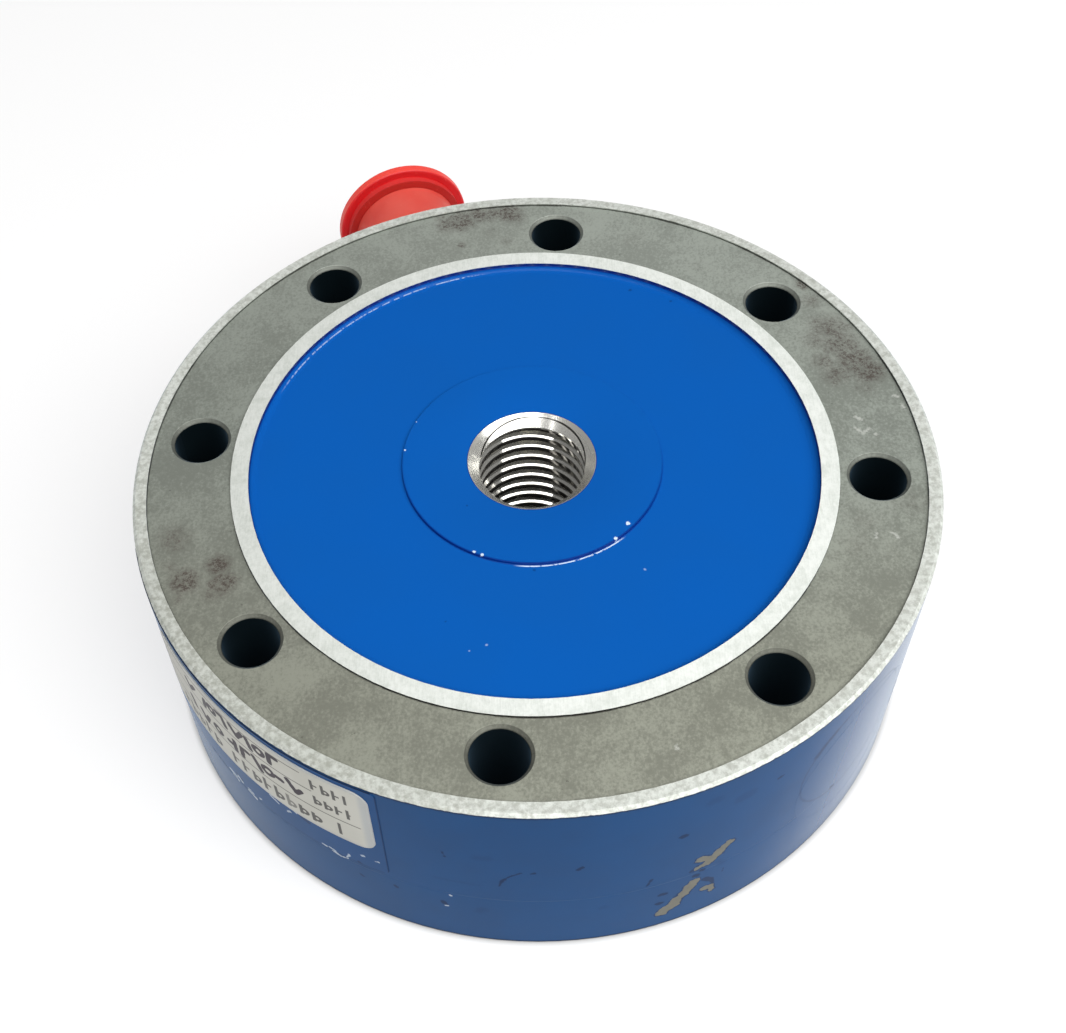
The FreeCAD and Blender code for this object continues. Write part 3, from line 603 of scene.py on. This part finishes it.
def cell_finish(root):
    """Blue paint on the side wall and the underside, ground steel on the rest."""
    place = places(root)
    x, y, z = split(place)
    radius = distance(x, y)
    across, height = wall_places(place, FRONT)

    steel, metal, lay_marks = ground_steel(place, x, y, radius, z)
    hole = bolt_hole_distance(x, y, radius)
    # Painted shade round the bolt-hole mouths: a dark ring on the chamfer and a darker band by the
    # holes' edge.
    rim_shade = most(between(hole, BOLT_HOLE + 0.36, BOLT_HOLE + 0.44, 0.06) * 0.75,
                fall(hole, BOLT_HOLE + 0.4, BOLT_HOLE + 0.46) * 0.55,
                fall(hole, BOLT_HOLE + 0.08, BOLT_HOLE + 0.22) * 0.8)
    steel = tint(rim_shade * fall(z, TOP - LAND_STEP, TOP - LAND_STEP + 0.02), steel, HOLE_RIM_SHADE)
    # Painted shade: the bolt holes are nearly black inside.
    steel = tint(fall(hole, BOLT_HOLE, BOLT_HOLE + 0.06), steel, HOLE_SHADE)
    mouth = fall(radius, BORE_MOUTH, BORE_MOUTH + 0.05)
    steel = tint(mouth, steel, THREAD_STEEL)

    paint, chipped, dark = wall_paint(place, across, height, rise(radius, RIM - 0.3, RIM - 0.2))
    painted_shade, painted = painted_areas(place, y, radius, z)
    # Painted shade on the recess wall and the hub's side.
    paint = tint(painted_shade, paint, PAINT_SHADE)
    peel = noise(place, 0.45, 2)
    facing = root.node("LayerWeight", inputs={"Blend": 0.5}, output="Facing")
    # The gloss is worn on the sticker's side of the cell
    rightward, _, _ = split(laid(place, LIGHT_TURN))
    polish = level(rise(rightward, -40, 20), 0.1, 0.6)
    gloss = rise(facing, 0.68, 0.9) * polish * painted * (1 - most(chipped, dark * 0.6))
    steel_relief = relief(lay_marks * (1 - painted), 0.006)
    return {
        "Base Color": tint(painted, steel, paint),
        "Metallic": most(metal, mouth * 0.75) * (1 - painted),
        "Roughness": level(most(painted * (1 - chipped), mouth), 0.5, 0.25),
        "Specular Tint": (0.80, 0.90, 1.0, 1),
        "Coat Weight": gloss,
        "Coat Roughness": 0.12,
        "Normal": relief((peel * 0.35 - chipped * 4) * painted, 0.012, steel_relief),
        **WALL_GLOSS,
    }


# Spots on the diaphragm and the hub: X, Y and radius in millimetres

SHEET_SPECKS = (
    (23.39, 26.52, 0.2), (28.1, 22.47, 0.16), (-5.15, -17.05, 0.12), (-10.26, -4.82, 0.1),
    (-17.78, -21.16, 0.1),
)
SHEET_GLINTS = (
    (-14.01, -25.95, 0.1), (-16.2, -26.15, 0.07), (7.86, -21.23, 0.09),
)
HUB_GLINTS = (
    (-11.51, -12.30, 0.1), (-10.68, -13.02, 0.11), (8.24, -13.94, 0.24), (5.99, -15.78, 0.22),
    (-12.70, 11.24, 0.08), (-15.37, 6.85, 0.08),
)


def sheet_paint(root):
    """Smooth blue coat of the diaphragms and the hub, with painted shade in its corners and painted
    highlights.
    """
    place = places(root)
    x, y, z = split(place)
    radius = distance(x, y)
    grit = noise(place, 1.6, 3)
    cloud = noise(place, 0.06, 3)
    spot = flat(x, y)

    def spots(table):
        """Mask of a table's spots, with uneven edges."""
        outside = smallest(dot(spot, (left, up), size) for left, up, size in table)
        return fall(outside + (grit - 0.5) * 0.6, -0.05, 0.1)

    def toward(azimuth):
        """Cosine of the angle from an azimuth."""
        ahead, _, _ = split(laid(place, azimuth))
        return ahead / radius

    upper = rise(z, TOP - 2, TOP - 1.9)
    # Painted shade round the foot of the hub, strongest towards the front, and at the foot of the
    # recess wall.
    hub_foot_shade = (between(radius, HUB - 0.1, HUB + 0.16, 0.12)
                * rise(toward(LIGHT_TURN - 90), -0.4, 0.7))
    recess_foot_shade = rise(radius, RECESS - 0.12, RECESS - 0.06)
    # Painted highlights: a broken light line just outside the hub at the front, and one by the
    # recess wall at the back left.
    hub_highlight = (between(radius, HUB + 0.17, HUB + 0.34)
                * rise(toward(FRONT), 0.90, 0.94) * rise(grit, 0.34, 0.48))
    recess_highlight = (between(radius, RECESS - 0.5, RECESS - 0.36)
                   * rise(toward(LEFT_BACK), 0.86, 0.92) * rise(grit, 0.36, 0.56))
    on_hub = rise(z, SHEET_TOP + 0.02, SHEET_TOP + 0.1)

    coat = tint(rise(cloud, 0.3, 0.75) * 0.5, PAINT, PAINT_WORN)
    coat = tint(most(hub_foot_shade, recess_foot_shade) * upper * 0.9, coat, PAINT_SHADE)
    coat = tint(spots(SHEET_SPECKS) * 0.45, coat, WALL_SCAR)
    glints = most(spots(SHEET_GLINTS) * 0.35, most(hub_highlight, recess_highlight * 0.5) * upper * 0.9,
                  spots(HUB_GLINTS) * on_hub)
    coat = tint(glints, coat, SHEET_GLINT)
    return {
        "Base Color": coat,
        "Roughness": 0.25,
        "Specular IOR Level": 0.08,
        "Normal": relief(noise(place, 0.12, 2) + grit * 0.02, 0.012),
    }


def thread_steel(root):
    """Cut thread with a painted dark reflection on its crests, and the thin line where it runs out
    in its mouth.
    """
    place = places(root)
    x, y, z = split(place)
    radius = distance(x, y)
    backward, _, _ = split(laid(place, RUNOUT_AZIMUTH))
    runout = backward / radius * 1.2 + 6.8
    cone = rise(z, BORE_TOP - 1.1, BORE_TOP - 1.05)
    line = fall(abs(radius - runout), 0.05, 0.12) * cone
    # Painted dark reflection on the thread's crests below the mouth.
    crest = (fall(radius, THREAD_CREST + 0.04, THREAD_CREST + 0.08)
             * fall(z, BORE_TOP - 1.4, BORE_TOP - 1.3))
    grain = noise(place, 1.8, 4)
    dirt_and_shade = most(line, crest * 0.9, rise(grain, 0.6, 0.8) * 0.2)
    return {
        "Base Color": tint(dirt_and_shade, THREAD_STEEL, THREAD_DIRT_AND_SHADE),
        "Metallic": level(cone, 0.86, 0.75),
        "Roughness": level(cone, 0.06, 0.22),
        "Normal": relief(grain, 0.002),
    }


# Labels: the film's marks have the azimuth and height of both ends, and half the width

FILM_BLUE = (0.007, 0.053, 0.175, 1)
FILM_WORN = (0.010, 0.049, 0.145, 1)
FLECK_WHITE = (0.46, 0.52, 0.58, 1)
FILM_FLECKS = (
    ((204.2, 14.3), (205.6, 14.0), 0.32), ((206.3, 14.7), (206.9, 14.1), 0.24),
    ((208.3, 14.0), (209.2, 13.8), 0.24), ((210.8, 14.2), (211.2, 14.4), 0.16),
    ((214.0, 18.5), (215.2, 17.8), 0.24), ((216.8, 17.2), (217.4, 17.8), 0.2),
    ((218.0, 19.3), (218.6, 18.6), 0.16), ((222.3, 14.0), (222.9, 13.9), 0.16),
    ((223.4, 14.1), (224.4, 13.8), 0.16), ((226.2, 13.8), (226.7, 14.8), 0.16),
    ((228.7, 16.1), (229.1, 16.3), 0.18), ((230.8, 16.0), (231.3, 16.1), 0.16),
)
FILM_SCARS = (
    ((228.0, 14.0), (228.3, 13.7), 0.2), ((219.4, 18.5), (220.6, 18.1), 0.3),
    ((206.0, 15.2), (207.0, 14.8), 0.3),
)


def nameplate_skin(root):
    """Dull blue film whose print is worn to a few white flecks."""
    place = places(root)
    across, height = wall_places(place, FILM_AZIMUTH)
    grit = noise(place, 1.4, 4, 0.6)
    cloud = noise(place, 0.1, 3)
    spot = flat(across, height)
    flecks = fall(wall_marks(spot, FILM_FLECKS, FILM_AZIMUTH) + (grit - 0.5) * 0.9, -0.05, 0.05)
    scars = fall(wall_marks(spot, FILM_SCARS, FILM_AZIMUTH) + (grit - 0.5) * 0.4, -0.05, 0.1)
    border = most(rise(abs(across), FILM_REACH - 0.22, FILM_REACH - 0.1),
                  fall(height, FILM_BOTTOM + 0.06, FILM_BOTTOM + 0.16))
    skin = tint(rise(cloud, 0.3, 0.7) * 0.6, FILM_BLUE, FILM_WORN)
    skin = tint(most(scars * 0.8, border * 0.7), skin, WALL_SCAR)
    skin = tint(rise(height, FILM_TOP - 0.12, FILM_TOP - 0.04) * 0.85, skin, WALL_EDGE)
    return {
        "Base Color": tint(flecks * 0.75, skin, FLECK_WHITE),
        "Roughness": level(cloud, 0.2, 0.3),
        "Normal": relief(noise(place, 0.5, 2) + flecks * 0.6, 0.008),
        **WALL_GLOSS,
    }


STOCK = (0.50, 0.495, 0.445, 1)
STOCK_DULL = (0.44, 0.435, 0.385, 1)
STOCK_EDGE = (0.30, 0.33, 0.37, 1)
PRINT_BLACK = (0.035, 0.032, 0.032, 1)
PEN_VIOLET = (0.020, 0.012, 0.022, 1)

# Sticker, in millimetres along the wall and up: half the size inside its dull edge, half the widths
# of its lines, then its rows of print with the level of the foot, height, pitch and both ends
CLEAN_REACH = (16.6, 5.9)
RULE_WIDTH = 0.08
PEN_WIDTH = 0.36
LOOP_WIDTH = 0.3
PRINT_ROWS = (
    (20.3, 3.0, 1.9, -16.0, 14.0), (25.4, 2.3, 1.5, 10.4, 15.8), (29.0, 2.3, 1.5, 10.6, 15.6),
)
PEN_STROKES = (
    ((8.9, 26.6), (8.1, 25.5), (7.0, 27.7)), ((6.0, 26.3), (5.1, 26.4)),
    ((2.5, 24.9), (1.5, 27.4)), ((0.6, 27.0), (-0.6, 26.9), (-0.8, 24.8)),
    ((-2.1, 24.6), (-2.0, 26.9)), ((-2.0, 25.7), (-3.2, 25.6)),
    ((-7.4, 25.9), (-8.2, 24.2), (-9.0, 26.0)), ((-10.8, 24.3), (-11.4, 26.2)),
    ((5.9, 31.2), (4.7, 31.2), (4.6, 29.2)), ((1.5, 29.0), (1.0, 31.1)),
    ((0.2, 31.0), (-0.9, 29.3), (-1.9, 31.0)), ((-3.0, 29.1), (-3.4, 31.0), (-4.5, 30.9)),
    ((-7.0, 30.4), (-7.4, 28.7)), ((-9.4, 30.3), (-10.6, 28.9), (-11.3, 30.2)),
)
PEN_LOOPS = (
    (3.8, 26.3, 0.8), (3.0, 30.2, 0.75), (-5.4, 25.6, 0.7), (-5.7, 29.9, 0.7),
)
RULES = (
    ((-16.5, 24.2), (16.8, 24.2)), ((-16.0, 28.0), (10.6, 28.4)), ((-16.0, 31.6), (9.4, 31.7)),
)


def print_row(across, height, foot, tall, pitch, start, end):
    """Row of plain marks of the size of print: stems, loops, bars and gaps, picked cell by cell."""
    cell = across.math("FLOOR", across / pitch)
    right = across - cell * pitch
    up = height - foot

    def pick(seed):
        """A value of 0 to 1 that is the same all over a cell."""
        return across.node("TexWhiteNoise", {"noise_dimensions": "1D"},
                           {"W": cell * 1.37 + (foot + seed)})

    kind = rise(pick(0.3), 0.39, 0.41)
    stem = (fall(abs(right - 0.28 * pitch), 0.11 * pitch, 0.18 * pitch)
            * fall(up - pick(7.7) * 0.3 * tall, 0.7 * tall, 0.75 * tall))
    ring = distance(right - 0.54 * pitch, up - 0.34 * tall) - 0.27 * pitch
    loop = fall(abs(ring), 0.1 * pitch, 0.17 * pitch)
    bar = (fall(abs(up - 0.5 * tall), 0.05 * tall, 0.1 * tall)
           * between(right, 0.25 * pitch, 0.8 * pitch, 0.05))
    marks = most(stem, loop * kind, bar * (1 - kind)) * rise(pick(3.1), 0.13, 0.15)
    return marks * between(up, 0, tall, 0.05) * between(across, start, end, 0.05)


def label_stock(root):
    """White stock with generic rows of marks and plain pen strokes."""
    place = places(root)
    across, height = wall_places(place, STICKER_AZIMUTH)
    grit = noise(place, 1.5, 4)
    cloud = noise(place, 0.12, 3)
    middle = (STICKER_BOTTOM + STICKER_TOP) / 2
    edge = most(abs(across) - CLEAN_REACH[0], abs(height - middle) - CLEAN_REACH[1])
    face = tint(rise(cloud, 0.35, 0.7) * 0.5, STOCK, STOCK_DULL)
    face = tint(rise(edge, 0.2, 1.1) * 0.5, face, STOCK_EDGE)

    spot = flat(across, height)
    rules = smallest(stroke(spot, start, end, RULE_WIDTH) for start, end in RULES)
    print_marks = largest(print_row(across, height, *row) for row in PRINT_ROWS)
    pen_runs = smallest(stroke(spot, start, end, PEN_WIDTH)
                        for points in PEN_STROKES for start, end in zip(points, points[1:]))
    pen_loops = smallest(abs(dot(spot, (left, up), size)) - LOOP_WIDTH
                         for left, up, size in PEN_LOOPS)
    face = tint(most(fall(rules, -0.02, 0.1) * 0.75, print_marks * 0.9), face, PRINT_BLACK)
    pen = smallest((pen_runs, pen_loops)) + (grit - 0.5) * 0.3
    face = tint(fall(pen, 0.0, 0.14), face, PEN_VIOLET)
    return {
        "Base Color": face,
        "Roughness": level(cloud, 0.3, 0.45),
        "Specular IOR Level": 0.08,
        "Normal": relief(noise(place, 0.6, 2), 0.012),
    }


# Cap, connector and inner pieces

CAP_BODY = (0.68, 0.072, 0.054, 1)
CAP_PALE = (0.72, 0.100, 0.075, 1)
CAP_STEP_SHADE = (0.41, 0.0145, 0.010, 1)
CAP_STEP_LIGHT = (0.58, 0.030, 0.028, 1)
CAP_FLANGE_SHADE = (0.59, 0.008, 0.010, 1)
CAP_RIM_LIGHT = (0.84, 0.070, 0.052, 1)
CAP_SCUFF = (0.80, 0.20, 0.16, 1)
# Painted light and shade in bands along the cap: shaded where the step faces the cell, lit on the
# step, shaded on the flange's face to the cell and lit on its rim.
CAP_LIGHT_AND_SHADE_RINGS = ((CAP_STEP - 0.25, CAP_STEP_SHADE), (CAP_STEP + 0.1, CAP_STEP_LIGHT),
             (CAP_FLANGE - 0.25, CAP_FLANGE_SHADE), (CAP_FLANGE + 0.1, CAP_RIM_LIGHT))
AMBER = (0.36, 0.17, 0.035, 1)
AMBER_DARK = (0.28, 0.12, 0.02, 1)
FOIL = (0.55, 0.47, 0.40, 1)

# Plated finishes: colour, worn colour and roughness
PLATED = {
    "tinned_tab": ((0.70, 0.68, 0.62, 1), (0.48, 0.46, 0.42, 1), 0.3),
    "plated_shell": ((0.50, 0.49, 0.44, 1), (0.34, 0.33, 0.29, 1), 0.32),
    "gold_contact": ((0.80, 0.56, 0.22, 1), (0.62, 0.42, 0.16, 1), 0.22),
    "screw_steel": ((0.58, 0.57, 0.54, 1), (0.38, 0.37, 0.35, 1), 0.3),
}

# Moulded finishes: colour, mottled colour and roughness, and the grain where it isn't the usual one
MOULDED = {
    "lead_cover": ((0.62, 0.60, 0.52, 1), (0.50, 0.47, 0.38, 1), 0.4),
    "seal_rubber": ((0.018, 0.018, 0.019, 1), (0.030, 0.030, 0.031, 1), 0.6),
    "trim_board": ((0.030, 0.13, 0.055, 1), (0.022, 0.095, 0.040, 1), 0.35, 3.0),
    "resistor_body": ((0.020, 0.020, 0.024, 1), (0.040, 0.038, 0.040, 1), 0.45),
    "insert_plastic": ((0.030, 0.028, 0.026, 1), (0.045, 0.040, 0.036, 1), 0.5),
}

# Finish of each CAD node
NODE_LOOKS = {
    "flexure_body": "cell_finish",
    "port_plug": "cell_finish",
    "mounting_diaphragm": "sheet_paint",
    "loading_diaphragm": "sheet_paint",
    "nameplate_film": "nameplate_skin",
    "calibration_sticker": "label_stock",
    "dust_cap": "cap_plastic",
    "strain_gauges": "gauge_foil",
    "gauge_terminals": "tinned_tab",
    "bridge_wiring": "lead_cover",
    "connector_leads": "lead_cover",
    "trim_leads": "lead_cover",
    "trim_board": "trim_board",
    "trim_resistors": "resistor_body",
    "port_gasket": "seal_rubber",
    "connector_gasket": "seal_rubber",
    "connector_shell": "plated_shell",
    "connector_insert": "insert_plastic",
    "connector_pins": "gold_contact",
    "flange_screws": "screw_steel",
}


def cap_plastic(root):
    """Soft red moulding compound, pale where it is thin and a little scuffed, with bands of painted
    light and shade.
    """
    place = places(root)
    _, along, _ = split(place)
    cloud = noise(place, 0.2, 3)
    scuff = noise(laid(place, 30, (0.3, 2.0, 1.0)), 1.0, 3)
    red = tint(rise(cloud, 0.3, 0.7), CAP_BODY, CAP_PALE)
    # Bands of painted light and shade.
    for start, colour in CAP_LIGHT_AND_SHADE_RINGS:
        red = tint(rise(along, start, start + 0.15), red, colour)
    return {
        "Base Color": tint(rise(scuff, 0.62, 0.8) * 0.25, red, CAP_SCUFF),
        "Roughness": level(cloud, 0.42, 0.55),
        "Subsurface Weight": 0.15,
        "Subsurface Radius": (1.0, 0.15, 0.1),
        "Subsurface Scale": 0.0008,
        "Normal": relief(noise(place, 1.2, 3), 0.012),
    }


def plated(colour, worn, roughness):
    """Plated metal with fine marks and dull patches."""
    def build(root):
        place = places(root)
        cloud = noise(place, 0.5, 4)
        lines = noise(laid(place, 20, (0.15, 1.5, 0.15)), 1.0, 2)
        return {
            "Base Color": tint(rise(cloud + lines * 0.3, 0.5, 0.85), colour, worn),
            "Metallic": 1.0,
            "Roughness": level(cloud, roughness, roughness + 0.15),
            "Normal": relief(lines, 0.004),
        }
    return build


def moulded(colour, mottled, roughness, grain=1.5):
    """Plastic, rubber, board or ceramic with a fine grain."""
    def build(root):
        place = places(root)
        cloud = noise(place, 0.4, 3)
        fine = noise(place, grain, 4)
        return {
            "Base Color": tint(rise(cloud * 0.6 + fine * 0.4, 0.35, 0.7), colour, mottled),
            "Roughness": level(fine, roughness, roughness + 0.15),
            "Normal": relief(fine, 0.015),
        }
    return build


def gauge_foil(root):
    """Etched grid of foil on an amber carrier."""
    place = places(root)
    _, _, z = split(place)
    grid = fall(z.math("PINGPONG", z, 0.2), 0.07, 0.11) * between(z, TOP / 2 - 2, TOP / 2 + 2, 0.05)
    fine = noise(place, 2.5, 3)
    return {
        "Base Color": tint(grid, tint(fine, AMBER, AMBER_DARK), FOIL),
        "Metallic": grid * 0.9,
        "Roughness": level(grid, 0.35, 0.3),
        "Normal": relief(grid + fine * 0.2, 0.005),
    }


def dress_nodes():
    """Makes the finishes, gives every CAD node its own and returns them by name."""
    builds = {build.__name__: build for build in (
        cell_finish, sheet_paint, thread_steel, nameplate_skin, label_stock, cap_plastic,
        gauge_foil)}
    builds.update((name, plated(*values)) for name, values in PLATED.items())
    builds.update((name, moulded(*values)) for name, values in MOULDED.items())
    made = {name: finish(name, build) for name, build in builds.items()}
    for node, look in NODE_LOOKS.items():
        for slot in frame["nodes"][node].material_slots:
            slot.material = made[look]
    return made


# Pieces modelled here: steps of a full turn, and the distance in metres that merges points

RING_STEPS = 192
THREAD_STEPS = 96
PORT_STEPS = 96
MERGE = 1e-7


def draw_chain(name, spots):
    """A new mesh whose edges run from point to point, in millimetres, left in edit mode."""
    bpy.ops.object.select_all(action="DESELECT")
    bpy.ops.mesh.primitive_plane_add(size=MM)
    piece = bpy.context.object
    piece.name = piece.data.name = name
    bpy.ops.object.mode_set(mode="EDIT")
    bpy.context.tool_settings.mesh_select_mode = (True, False, False)
    bpy.ops.mesh.select_all(action="SELECT")
    bpy.ops.mesh.merge(type="CENTER")
    spots = [Vector(spot) * MM for spot in spots]
    bpy.ops.transform.translate(value=spots[0])
    for start, end in zip(spots, spots[1:]):
        bpy.ops.mesh.extrude_region_move(TRANSFORM_OT_translate={"value": end - start})
    bpy.ops.mesh.select_all(action="SELECT")
    bpy.ops.mesh.remove_doubles(threshold=MERGE)
    return piece


def turned(name, spots, axis=(0, 0, 1), middle=0.0, steps=RING_STEPS):
    """A closed outline spun about an axis through the load axis at a level."""
    piece = draw_chain(name, spots + spots[:1])
    bpy.ops.mesh.select_all(action="SELECT")
    bpy.ops.mesh.spin(steps=steps, angle=2 * math.pi, center=(0, 0, middle * MM), axis=axis)
    bpy.ops.mesh.select_all(action="SELECT")
    bpy.ops.mesh.remove_doubles(threshold=MERGE)
    bpy.ops.mesh.normals_make_consistent(inside=False)
    bpy.ops.object.mode_set(mode="OBJECT")
    return piece


def turned_ring(name, outline):
    """Ring about the load axis with a closed outline of radius and level."""
    return turned(name, [(radius, 0, up) for radius, up in outline])


def arc(middle, radius, start, end, count=6):
    """Points of an arc between two angles in degrees."""
    turns = [math.radians(start + (end - start) * step / count) for step in range(count + 1)]
    return [(middle[0] + radius * math.cos(turn), middle[1] + radius * math.sin(turn))
            for turn in turns]


def combine(piece, operation, tool):
    """Applies a Boolean with a tool piece, which is then removed."""
    cut = piece.modifiers.new("combine", "BOOLEAN")
    cut.operation = operation
    cut.solver = "MANIFOLD"
    cut.object = tool
    bpy.context.view_layer.objects.active = piece
    bpy.ops.object.modifier_apply(modifier=cut.name)
    bpy.data.objects.remove(tool)


def settle(piece, look, body, angle=35):
    """Smooth shading, finish, body and slot of a new piece."""
    bpy.ops.object.select_all(action="DESELECT")
    piece.select_set(True)
    bpy.context.view_layer.objects.active = piece
    bpy.ops.object.shade_smooth_by_angle(angle=math.radians(angle))
    piece.data.materials.clear()
    piece.data.materials.append(look)
    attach(piece, body)


def hub_thread(look):
    """Thread of the hub: a ridge wound up the bore, with a smooth cone at each mouth."""
    wide = 0.4375 * THREAD_PITCH
    narrow = 0.17 * THREAD_PITCH
    skin = BORE + 0.02
    start = BORE_BOTTOM - THREAD_PITCH - THREAD_DROP
    ridge = [(skin, 0, start - wide), (skin, 0, start + wide),
             (THREAD_CREST, 0, start + narrow), (THREAD_CREST, 0, start - narrow)]
    thread = draw_chain("hub_thread", ridge + ridge[:1])
    bpy.ops.object.mode_set(mode="OBJECT")
    wind = thread.modifiers.new("wind", "SCREW")
    wind.axis = "Z"
    wind.screw_offset = THREAD_PITCH * MM
    wind.iterations = math.ceil(BORE_LENGTH / THREAD_PITCH) + 3
    wind.steps = THREAD_STEPS
    wind.render_steps = THREAD_STEPS
    bpy.ops.object.modifier_apply(modifier=wind.name)
    bpy.ops.object.mode_set(mode="EDIT")
    bpy.ops.mesh.select_all(action="SELECT")
    bpy.ops.mesh.fill_holes(sides=len(ridge))
    bpy.ops.mesh.select_all(action="SELECT")
    bpy.ops.mesh.normals_make_consistent(inside=False)
    bpy.ops.object.mode_set(mode="OBJECT")

    edge = BORE + 0.01
    upper = BORE_TOP + 0.01
    lower = BORE_BOTTOM - 0.01
    reach = edge - THREAD_CREST + 0.4
    combine(thread, "INTERSECT", turned_ring("sleeve", [
        (edge, lower), (edge, upper),
        (edge - reach, upper - reach), (edge - reach, lower + reach)]))
    depth = edge - THREAD_CREST + 0.03
    for name, face, way in (("upper_cone", upper, -1), ("lower_cone", lower, 1)):
        foot = face + way * depth
        combine(thread, "UNION", turned_ring(name, [
            (edge, face), (edge - depth, foot),
            (edge - depth, foot + way * 0.25), (edge, foot + way * 0.8)]))
    settle(thread, look, "cell", 25)


def hub_coat(look):
    """Coat of paint on the hub with a bead round its edge and a hollow at its foot."""
    crown = HUB_TOP + 0.012
    edge = HUB + 0.06
    foot = SHEET_TOP + 0.008
    bead = 0.07
    hollow = 0.12
    outline = [(BORE_MOUTH + 0.04, crown - 0.1), (BORE_MOUTH + 0.05, crown - 0.03),
               (BORE_MOUTH + 0.16, crown), (HUB - 0.6, crown), (HUB - 0.25, crown + 0.02)]
    outline += arc((edge - bead, crown + 0.02 - bead), bead, 90, 0)
    outline += arc((edge + hollow, foot + hollow), hollow, 180, 270)
    outline += [(edge + hollow + 0.3, foot - 0.012), (edge + hollow, foot - 0.05),
                (HUB - 0.2, foot - 0.05), (HUB - 0.2, crown - 0.1)]
    settle(turned_ring("hub_coat", outline), look, "cell", 50)


def recess_fillet(look):
    """Paint that has run into the corner of the recess."""
    wall = RECESS - 0.01
    foot = SHEET_TOP + 0.008
    curve = ((0.02, 0.6), (0.05, 0.55), (0.1, 0.44), (0.18, 0.31), (0.3, 0.18), (0.45, 0.09),
             (0.65, 0.03))
    outline = [(wall + 0.06, foot + 0.6)]
    outline += [(wall - inward, foot + rising) for inward, rising in curve]
    outline += [(wall - 0.95, foot - 0.012), (wall - 0.7, foot - 0.05), (wall + 0.06, foot - 0.05)]
    settle(turned_ring("recess_fillet", outline), look, "cell", 60)


def seam_fill(look):
    """Paint in the seam of the side wall, which leaves only a faint line."""
    inside = RIM - 0.3
    proud = RIM + 0.004
    seam = turned_ring("seam_fill", [
        (inside, SEAM - 0.1), (proud, SEAM - 0.22), (RIM - 0.02, SEAM),
        (proud, SEAM + 0.22), (inside, SEAM + 0.1)])
    bpy.ops.object.mode_set(mode="EDIT")
    bpy.ops.mesh.select_all(action="SELECT")
    bpy.ops.mesh.bisect(plane_co=(0, (FLAT - 0.01) * MM, 0), plane_no=(0, 1, 0),
                        use_fill=True, clear_outer=True)
    bpy.ops.object.mode_set(mode="OBJECT")
    settle(seam, look, "cell", 30)


def port_fill(look):
    """Paint in the joint round the port plug, flush with the side wall."""
    outward = Vector((*on_face(1, PORT_AZIMUTH), 0))
    middle = TOP / 2
    narrow = PORT_RADIUS - 0.2
    wide = PORT_RADIUS + 0.1
    ends = ((RIM - 3.0, narrow), (RIM - 3.0, wide), (RIM + 1.0, wide), (RIM + 1.0, narrow))
    spots = [outward * out + Vector((0, 0, middle + up)) for out, up in ends]
    fill = turned("port_fill", spots, outward, middle, PORT_STEPS)
    inside = RIM - 2.2
    proud = RIM + 0.01
    combine(fill, "INTERSECT", turned_ring("skin", [
        (inside, 1), (proud, 1), (proud, TOP - 1), (inside, TOP - 1)]))
    settle(fill, look, "cell", 30)


set_camera()
light_scene()
bpy.ops.object.select_all(action="DESELECT")
add_floor()
looks = dress_nodes()
hub_thread(looks["thread_steel"])
hub_coat(looks["sheet_paint"])
recess_fillet(looks["sheet_paint"])
seam_fill(looks["cell_finish"])
port_fill(looks["cell_finish"])
